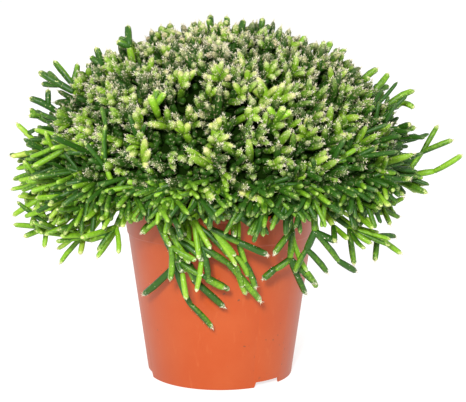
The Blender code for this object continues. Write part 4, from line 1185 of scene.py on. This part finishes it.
def fill_crown(copies, cell, draw, settings):
    """Deeper shoots between a crown stem's segments, and stubs, which close the view of its heart, both
    painted darker as shade.
    """
    area = cell.width * (cos(cell.low) - cos(cell.high)) * (DOME_HALF_WIDTH - CORE_DEPTH) ** 2
    crowding = LOW_CROWD[1] if cell.low > LOW_CROWD[0] else 1.0
    for number in range(int(crowding * area / settings.fill_spacing ** 2)):
        polar, azimuth = within(cell, draw)
        if draw.random() < HOLLOW_CLEARING * hollow_at(polar, azimuth):
            continue
        style = crown_style(polar, azimuth, draw)
        leafy = style["kind"] == "leaf"
        style["shoots"] = [2, 2, 3] if leafy else [2, 3, 3]
        # Painted shade: the fill is darker than the segments around it.
        style["tone"] -= FILL_SHADE
        style["ripe"] *= 0.5
        style["hairs"] = FILL_HAIRS
        root = polar_point(polar, azimuth, CORE_DEPTH)
        lean = radians(draw.uniform(0, FILL_LEAN[0] + (FILL_LEAN[1] * abs(sin(azimuth)) if leafy else 0)))
        axis = leaning(outward(polar, azimuth), lean, draw.uniform(0, 2 * pi))
        fork = root + axis * draw.uniform(0.001, 0.0090)
        stalk_and_shoots(copies, root, fork, axis, style, draw, settings)
    for number in range(int(area / settings.stub_spacing ** 2)):
        polar, azimuth = within(cell, draw)
        root = polar_point(polar, azimuth, CORE_DEPTH)
        axis = leaning(outward(polar, azimuth), radians(draw.uniform(0, 70)), draw.uniform(0, 2 * pi))
        reach = draw.uniform(0.005, 0.010) * (1.0 - 0.5 * hollow_at(polar, azimuth))
        radius = settings.terminal_radius * draw.uniform(0.8, 1.0)
        # Painted shade: each stub is in the deep green.
        copies.put("fill", root, root + axis * reach, radius, draw.uniform(*STUB_SHADE_TONES))


# How low the crown's hanging shoots reach: over the rim in front, at the front's left, and elsewhere.
HANG_FRONT, HANG_LEFT, HANG_ELSEWHERE = 0.098, 0.111, 0.102
HANG_FRONT_SPAN = (-0.030, 0.085)
HANG_LEFT_SPAN = (-0.062, 0)
HANG_LEFT_BACK = 0.02
HANG_ATTEMPTS = 6
HANG_TIP = 0.014               # from a hanging stalk's end to where its shoots are taken to end
LONGEST_HANGING = 1.9


def least_height(point):
    """The lowest that the crown's hanging shoots reach at a point."""
    if point.y < 0 and HANG_FRONT_SPAN[0] < point.x < HANG_FRONT_SPAN[1]:
        return HANG_FRONT
    at_left = HANG_LEFT_SPAN[0] < point.x < HANG_LEFT_SPAN[1] and point.y < HANG_LEFT_BACK
    return HANG_LEFT if at_left else HANG_ELSEWHERE


def hang_under(copies, cell, draw, settings):
    """Shoots that hang outwards from the edge of a lowest crown stem's heart, over the rim."""
    for number in range(settings.hanging):
        polar = cell.high - draw.uniform(0.0, 0.10)
        azimuth = cell.azimuth + cell.width * draw.uniform(-0.48, 0.48)
        root = polar_point(polar, azimuth, CORE_DEPTH + CORE_THICK * draw.random())
        style = crown_style(pi / 2, azimuth, draw)
        style["shoots"] = [1, 2, 3]
        style["reach"] = min(style["reach"], LONGEST_HANGING)
        for attempt in range(HANG_ATTEMPTS):
            turn = azimuth + draw.choice([-1, 1]) * draw.uniform(0.3, 1.6)
            heading = falling(turn, radians(draw.uniform(0, 75)))
            fork = root + heading * draw.uniform(0.007, 0.015)
            tip = fork + heading * HANG_TIP
            if tip.z > least_height(tip) and off_pot(fork) and off_pot(tip):
                stalk_and_shoots(copies, root, fork, heading, style, draw, settings)
                break


OVER_RIM = 0.003               # room that shoots leave over the rim and beside the wall
OFF_WALL = 0.004


def wall_radius(height):
    """Outer radius of the pot's wall below the rim band."""
    return FOOT_RADIUS + (WALL_TOP_RADIUS - FOOT_RADIUS) * height / BAND_HEIGHT


def inner_radius(height):
    """Inner radius of the wall, which runs straight up to the rim."""
    foot = FOOT_RADIUS - WALL
    return foot + (RIM_RADIUS - WALL - foot) * height / POT_HEIGHT


def peat_height(radius):
    """Height of the peat's low dome."""
    edge = inner_radius(PEAT_EDGE) - GAP
    return PEAT_CROWN - (PEAT_CROWN - PEAT_EDGE) * (radius / edge) ** 2


def off_pot(point):
    """Whether a point hangs clear of the pot's outside."""
    return point.z > POT_HEIGHT + OVER_RIM or np.hypot(point.x, point.y) > wall_radius(point.z) + OFF_WALL


SEGMENT_LENGTH = 0.024         # a skirt or trailing stem is cut into segments of about this length
TWIG_ATTEMPTS = 10
TWIG_TONES = (-0.2, 0.95)
TRAILING_TONES = (-0.4, 0.3)
SKIRT_TONES = (0.0, 0.8)
SKIRT_SLOPE = 2.0              # how much deeper the skirt's green becomes per metre to the right
ROOT_TONE = 0.1
ROOT_SHORT = 0.001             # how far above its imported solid's foot a dressed stem ends in the peat
RUN_BEFORE = 0.5               # skirt segments overlap at both ends by these shares of their radius
RUN_BEYOND = 0.3

# Choices of how many side segments a joint has: above a height, and below it.
SKIRT_TWIGS = (0.097, (2, 3, 3), (1, 1, 2))
TRAILING_TWIGS = (0.103, (2, 2, 3), (0, 0, 1))

# Where side segments may go. The trailing stems' keep close over the rim and the wall: within a radius that
# widens above a height, between two heights, and higher at the left. The skirt's end sooner at the right,
# and lower down at both sides.
BESIDE_POT = (0.082, 0.35, 0.095)
BESIDE_POT_HEIGHTS = (0.062, 0.122)
BESIDE_POT_LEFT = (-0.030, 0.106)
SKIRT_RIGHT = 0.100
SKIRT_SIDES = (-0.04, 0.070)
SKIRT_SIDES_LOWEST = 0.090


def own_segments(plant, name):
    """A stem's segments by index, and which of them carry others."""
    own = {i: segment for i, segment in enumerate(plant.segments) if segment[0] == name}
    return own, {segment[4] for segment in own.values()}


def add_root(copies, start, end, radius):
    """The foot of a stem in the peat."""
    copies.put("skirt", start - Vector((0, 0, ROOT_DEPTH - ROOT_SHORT)), end, radius, ROOT_TONE)


def add_twigs(copies, at, axis, radius, draw, habit, count, level=0):
    """Young side segments at a joint, which may fork once more, in the room that is left for them."""
    room, outwards, drift, lengths = habit
    pull = Vector((at.x, at.y, 0)).normalized() * outwards + Vector(drift)
    for number in range(count):
        for attempt in range(TWIG_ATTEMPTS):
            heading = leaning(axis, radians(draw.uniform(18, 66)), draw.uniform(0, 2 * pi))
            heading = (heading + pull).normalized()
            tip = at + heading * draw.uniform(*lengths)
            if room(tip) and off_pot(tip) and off_pot(at.lerp(tip, 0.5)):
                swell = radius * draw.uniform(0.92, 1.12)
                copies.grow("skirt", at, tip, swell, draw.uniform(*TWIG_TONES), 0.8, draw, 0.07)
                add_side_bristles(copies, at, tip, swell, SKIRT_HAIRS[1], BRISTLE_LENGTH[2], draw)
                add_tip(copies, tip, heading, draw.choice([0, 0.3, 0.45]), draw)
                if level == 0:
                    add_twigs(copies, tip, heading, radius, draw, habit, draw.choice([0, 1, 2]), 1)
                break


def dress_run(copies, start, end, radius, tone, draw, last, habit=None, twigs=(0,)):
    """A length of skirt stem: jointed segments with pale bristles at each joint, and young side segments."""
    axis = (end - start).normalized()
    length = (end - start).length
    count = max(1, round(length / SEGMENT_LENGTH))
    for number in range(count):
        low = start + axis * length * number / count
        high = start + axis * length * (number + 1) / count
        ripe = 0.9 if last and number == count - 1 else 0.0
        swell = radius * draw.uniform(1.05, 1.22)
        copies.grow("skirt", low - axis * swell * RUN_BEFORE, high + axis * swell * RUN_BEYOND, swell,
                    tone + draw.uniform(-0.15, 0.2), ripe, draw, 0.045)
        add_side_bristles(copies, low, high, swell, SKIRT_HAIRS[0], BRISTLE_LENGTH[2], draw)
        add_joint(copies, high, axis, draw)
        if habit:
            add_twigs(copies, high, axis, radius, draw, habit, draw.choice(twigs))
    if last:
        add_tip(copies, end + axis * radius * RUN_BEYOND, axis, LAST_WOOL, draw)


def beside_pot(point):
    """The room that the trailing stems' side segments keep to."""
    across, widening, above = BESIDE_POT
    near = np.hypot(point.x, point.y) < across + widening * max(0.0, point.z - above)
    left, left_lowest = BESIDE_POT_LEFT
    lowest, highest = BESIDE_POT_HEIGHTS
    return near and lowest < point.z < highest and (point.x > left or point.z > left_lowest)


def beside_skirt(point):
    """The room that the skirt's side segments keep to."""
    lowest = SKIRT_SIDES_LOWEST if point.x < SKIRT_SIDES[0] or point.x > SKIRT_SIDES[1] else 0.0
    return in_skirt(point) and point.x < SKIRT_RIGHT and point.z > lowest


# How side segments grow: the room that they keep to, how much they tend away from the pot, where else they
# tend to, and their lengths.
TRAILING_HABIT = (beside_pot, 0.0, (0.30, -0.10, -0.60), (0.015, 0.027))
SKIRT_HABIT = (beside_skirt, 0.45, (0, 0, -0.14), (0.015, 0.026))

PATCH_OVERLAP = 0.0003         # the heart patches meet, so that nothing shows through between them
PATCH_ROUGH = (-0.0012, 0.0016)
PATCH_THIN = 0.001             # how much thinner a patch is than the core that it stands for
PATCH_SIDES = 16               # of the round one in the middle, and the squares of the others
PATCH_GRID = (12, 9)


def heart_shade_patch(cell):
    """The rough heart under one crown stem's segments: a sheet bent to its share of the dome, painted dark as
    shade.
    """
    bm = bmesh.new()
    margin = -PATCH_OVERLAP / (DOME_HALF_WIDTH - CORE_DEPTH)
    if cell.whole:
        bmesh.ops.create_circle(bm, cap_ends=True, cap_tris=True, segments=PATCH_SIDES, radius=1.0)
        bmesh.ops.subdivide_edges(bm, edges=bm.edges, cuts=2, use_grid_fill=True)
    else:
        bmesh.ops.create_grid(bm, x_segments=PATCH_GRID[0], y_segments=PATCH_GRID[1], size=1.0)
    draw = random.Random(cell.name + " heart")
    for vertex in bm.verts:
        x, y = vertex.co.x, vertex.co.y
        if cell.whole:
            polar, azimuth = (cell.high - margin) * min(1.0, np.hypot(x, y)), atan2(y, x)
        else:
            polar = cell.low + margin + (cell.high - cell.low - 2 * margin) * (y + 1) / 2
            azimuth = cell.azimuth + (cell.width / 2 - margin / sin(polar)) * x
        vertex.co = polar_point(polar, azimuth, CORE_DEPTH + draw.uniform(*PATCH_ROUGH))
    bmesh.ops.solidify(bm, geom=bm.faces[:], thickness=CORE_THICK - PATCH_THIN)
    return Shape(bm, HEART_SHADE)


def pot_outline():
    """Radius and height of each corner of the pot's section, from its axis below the floor to that above."""
    return [
        (0, 0), (CENTRE_FOOT_RADIUS, 0), (CENTRE_FOOT_RADIUS, FLOOR_RISE),
        (inner_radius(FLOOR_RISE), FLOOR_RISE), (FOOT_RADIUS - WALL, 0), (FOOT_RADIUS, 0),
        (wall_radius(BAND_HEIGHT), BAND_HEIGHT), (WALL_TOP_RADIUS + BAND_STEP, BAND_HEIGHT + BAND_RISE),
        (RIM_RADIUS, POT_HEIGHT - LIP_LOW), (RIM_RADIUS + LIP_ROLL, POT_HEIGHT - LIP_WIDE),
        (RIM_RADIUS + LIP_ROLL, POT_HEIGHT), (RIM_RADIUS - WALL, POT_HEIGHT),
        (inner_radius(FLOOR_TOP), FLOOR_TOP), (0, FLOOR_TOP)]


def drain_cuts():
    """What is cut out of the pot in three places: a notch in the foot, and a slot in the floor behind it."""
    half, over = NOTCH_WIDTH / 2, CUT_OVERRUN
    slot_out = FOOT_RADIUS - WALL - SLOT_INSET
    notch = ((FOOT_RADIUS - NOTCH_REACH, -half, -over), (FOOT_RADIUS + NOTCH_OVERRUN, half, NOTCH_HEIGHT))
    slot = ((slot_out - SLOT_DEPTH, over - half, over), (slot_out, half - over, FLOOR_TOP + over))
    bm = bmesh.new()
    for azimuth in NOTCH_AZIMUTHS:
        for low, high in (notch, slot):
            size = Vector(high) - Vector(low)
            place = Matrix.Translation((Vector(low) + Vector(high)) / 2) @ Matrix.Diagonal((*size, 1))
            made = bmesh.ops.create_cube(bm, size=1, matrix=place)["verts"]
            bmesh.ops.scale(bm, verts=[v for v in made if v.co.z < 0], vec=(1, NOTCH_FLARE, 1))
            bmesh.ops.transform(bm, verts=made, matrix=Matrix.Rotation(azimuth, 4, "Z"))
    return mesh_of("drain_cuts", bm)


def turned_pot(settings):
    """The pot: its outline with rounded corners, spun about the axis, and the drains cut out of it."""
    bm = bmesh.new()
    line = [bm.verts.new((radius, 0, height)) for radius, height in pot_outline()]
    for low, high in zip(line, line[1:]):
        bm.edges.new((low, high))
    bmesh.ops.bevel(bm, geom=line[1:-1], offset=EDGE_ROUND, segments=2, profile=0.5, affect="VERTICES",
                    material=-1)
    bmesh.ops.spin(bm, geom=bm.verts[:] + bm.edges[:], cent=(0, 0, 0), axis=(0, 0, 1), angle=2 * pi,
                   steps=settings.sides, use_merge=True)
    bmesh.ops.remove_doubles(bm, verts=bm.verts, dist=SAME_PLACE)
    bmesh.ops.recalc_face_normals(bm, faces=bm.faces)
    pot = add_object("nursery_pot", mesh_of("nursery_pot", bm), [plastic(settings)])
    cut_away(pot, drain_cuts())
    pot.data.shade_smooth()
    pot.data.set_sharp_from_angle(angle=radians(SHARP_EDGE))
    return pot


def cut_away(piece, mesh):
    """Cut a mesh out of a piece."""
    cutter = add_object("cutter", mesh, [])
    cut = piece.modifiers.new("cut", "BOOLEAN")
    cut.operation = "DIFFERENCE"
    cut.object = cutter
    cut.use_self = True
    bpy.context.view_layer.update()
    evaluated = piece.evaluated_get(bpy.context.evaluated_depsgraph_get())
    result = bpy.data.meshes.new_from_object(evaluated)
    piece.modifiers.remove(cut)
    piece.data = result
    bpy.data.objects.remove(cutter)


def ride_along(piece, node):
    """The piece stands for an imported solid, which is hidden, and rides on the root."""
    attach(piece, "root")
    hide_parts(node)


def add_foliage(copies, stem, finishes, extra=None):
    """A stem's copies as one piece in the stem's place."""
    name = stem.replace("stem", "foliage")
    ride_along(add_object(name, copies.mesh(name, extra), finishes), stem)


class RHIPSALIS_OT_pot(bpy.types.Operator):
    """Turn the terracotta plastic pot, and cut its drain notches"""
    bl_idname = "rhipsalis.pot"
    bl_label = "Pot"

    def execute(self, context):
        ride_along(turned_pot(context.scene.rhipsalis.pot), "pot")
        return {"FINISHED"}


PEAT_SEED = 3
CRUMBS_INSET = 0.003           # from the pot's wall to the outermost crumbs
CRUMB_SINK = 0.35              # how deep a crumb lies in the peat, as a share of its radius


class RHIPSALIS_OT_peat(bpy.types.Operator):
    """Colour the peat, and scatter loose crumbs on it"""
    bl_idname = "rhipsalis.peat"
    bl_label = "Peat"

    def execute(self, context):
        settings = context.scene.rhipsalis.peat
        finish = peat(settings)
        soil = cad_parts["soil"]
        soil.data.materials.clear()
        soil.data.materials.append(finish)
        draw = random.Random(PEAT_SEED)
        crumbs = Copies()
        reach = inner_radius(PEAT_EDGE) - CRUMBS_INSET
        for number in range(settings.crumbs):
            radius, turn = reach * draw.random() ** 0.5, draw.uniform(0, 2 * pi)
            size = settings.crumb_size * draw.uniform(0.5, 1.4)
            at = Vector((radius * cos(turn), radius * sin(turn), peat_height(radius) - size * CRUMB_SINK))
            up = Vector((draw.uniform(-0.5, 0.5), draw.uniform(-0.5, 0.5), 1)).normalized()
            crumbs.put("crumb", at, at + up * size, size, 0, 0, draw.uniform(0, ROLL))
        piece = add_object("peat_crumbs", crumbs.mesh("peat_crumbs"), [finish], smooth=False)
        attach(piece, "root")
        return {"FINISHED"}


class RHIPSALIS_OT_crown(bpy.types.Operator):
    """Dress the crown's stems: forked segments with woolly tips over a heart painted dark as shade"""
    bl_idname = "rhipsalis.crown"
    bl_label = "Crown"

    def execute(self, context):
        settings = context.scene.rhipsalis.foliage
        plant, cells = grown()
        finishes = [foliage("crown stem", settings), bristles(settings), heart(settings),
                    foliage("outer crown stem", settings)]
        for cell in cells:
            draw = random.Random(cell.name)
            copies = Copies()
            own, carriers = own_segments(plant, cell.name)
            for index, (owner, start, end, radius, parent) in own.items():
                if start.z < OUT_OF_PEAT and parent is None:
                    add_root(copies, start, end, radius)
                elif radius == STALK_RADIUS:
                    dress_run(copies, start, end, radius, 0.0, draw, False)
                elif index in carriers:
                    beyond = (end - start).normalized() * SPRIG_OVERRUN
                    copies.put("crown", start, end + beyond, radius, SPRIG_TONE)
                    add_side_bristles(copies, start, end, radius, SPRIG_HAIRS, BRISTLE_LENGTH[1], draw)
                elif radius == SPRIG_RADIUS:
                    dress_sprig(copies, start, end, draw, settings)
                else:
                    dress_finger(copies, start, end, draw, settings)
            fill_crown(copies, cell, draw, settings)
            if cell.lowest:
                hang_under(copies, cell, draw, settings)
            add_foliage(copies, cell.name, finishes, heart_shade_patch(cell))
        return {"FINISHED"}


class RHIPSALIS_OT_skirt(bpy.types.Operator):
    """Dress the stems that spread below the crown, and those that trail over the pot"""
    bl_idname = "rhipsalis.skirt"
    bl_label = "Skirt and trailing stems"

    def execute(self, context):
        settings = context.scene.rhipsalis.foliage
        plant = grown()[0]
        hair = bristles(settings)
        skirt, trailing = [[foliage(name, settings), hair] for name in ("skirt stem", "trailing stem")]
        for name in [*TRAILING_STEMS, *SKIRT_STEMS, *WILD_NAMES]:
            draw = random.Random(name)
            copies = Copies()
            own, carriers = own_segments(plant, name)
            trails = name in TRAILING_STEMS
            habit = TRAILING_HABIT if trails else SKIRT_HABIT
            tones, slope = (TRAILING_TONES, 0.0) if trails else (SKIRT_TONES, SKIRT_SLOPE)
            limit, above, below = TRAILING_TWIGS if trails else SKIRT_TWIGS
            girth = settings.trailing_girth if trails else 1
            for index, (owner, start, end, radius, parent) in own.items():
                if parent is None:
                    add_root(copies, start, end, radius)
                    continue
                tone = draw.uniform(*tones) - slope * start.x
                twigs = above if end.z > limit else below
                dress_run(copies, start, end, radius * girth, tone, draw, index not in carriers, habit, twigs)
            add_foliage(copies, name, trailing if trails else skirt)
        return {"FINISHED"}


FLOOR_SIZE = 6.0               # half the floor's width
KEY_SIZE = 0.15
KEY_PLACE = (-0.12, -1.10, 0.50)
KEY_AIM = (0, 0, 0.12)
SENSOR = 36                    # millimetres, as the lens setting says
CLIP = (0.01, 50)
EXPOSURE = 0.2


class RHIPSALIS_OT_stage(bpy.types.Operator):
    """Lay the white floor, hang the soft light and set up the camera"""
    bl_idname = "rhipsalis.stage"
    bl_label = "Stage"

    def execute(self, context):
        settings = context.scene.rhipsalis.stage
        scene = context.scene
        bm = bmesh.new()
        bmesh.ops.create_grid(bm, x_segments=1, y_segments=1, size=FLOOR_SIZE)
        floor = add_object("floor", mesh_of("floor", bm), [floor_paint(settings)], smooth=False)
        scene.world = bpy.data.worlds.new("white surroundings")
        scene.world.use_nodes = True
        sky = scene.world.node_tree.nodes["Background"]
        sky.inputs["Color"].default_value = (1, 1, 1, 1)
        sky.inputs["Strength"].default_value = settings.sky
        light = bpy.data.lights.new("key", "AREA")
        light.shape = "DISK"
        light.size = KEY_SIZE
        light.energy = settings.key
        key = bpy.data.objects.new("key", light)
        key.location = KEY_PLACE
        key.rotation_euler = (Vector(KEY_AIM) - key.location).to_track_quat("-Z", "Y").to_euler()
        scene.collection.objects.link(key)
        lens = bpy.data.cameras.new("camera")
        lens.sensor_width = SENSOR
        lens.lens = settings.lens
        lens.shift_x = settings.shift
        lens.clip_start, lens.clip_end = CLIP
        camera = bpy.data.objects.new("camera", lens)
        camera.location = (0, -settings.distance, settings.height)
        camera.rotation_euler = (pi / 2 - settings.tilt, 0, 0)
        scene.collection.objects.link(camera)
        scene.camera = camera
        scene.view_settings.view_transform = "Standard"
        scene.view_settings.exposure = EXPOSURE
        return {"FINISHED"}


class RHIPSALIS_PT_panel(bpy.types.Panel):
    bl_idname = "RHIPSALIS_PT_panel"
    bl_label = "Rhipsalis"
    bl_space_type = "VIEW_3D"
    bl_region_type = "UI"
    bl_category = "Rhipsalis"

    def draw(self, context):
        settings = context.scene.rhipsalis
        for group, operators in (("pot", ("pot",)), ("peat", ("peat",)), ("foliage", ("crown", "skirt")),
                                 ("stage", ("stage",))):
            held = getattr(settings, group)
            column = self.layout.box().column()
            for name in held.__annotations__:
                column.prop(held, name)
            for name in operators:
                column.operator("rhipsalis." + name)


CLASSES = (PotSettings, PeatSettings, FoliageSettings, StageSettings, RhipsalisSettings, RHIPSALIS_OT_pot,
           RHIPSALIS_OT_peat, RHIPSALIS_OT_crown, RHIPSALIS_OT_skirt, RHIPSALIS_OT_stage, RHIPSALIS_PT_panel)


def register():
    for kind in CLASSES:
        bpy.utils.register_class(kind)
    bpy.types.Scene.rhipsalis = PointerProperty(type=RhipsalisSettings)


def unregister():
    del bpy.types.Scene.rhipsalis
    for kind in reversed(CLASSES):
        bpy.utils.unregister_class(kind)


def main():
    register()
    bpy.ops.rhipsalis.pot()
    bpy.ops.rhipsalis.peat()
    bpy.ops.rhipsalis.crown()
    bpy.ops.rhipsalis.skirt()
    bpy.ops.rhipsalis.stage()


if __name__ == "__main__":
    main()
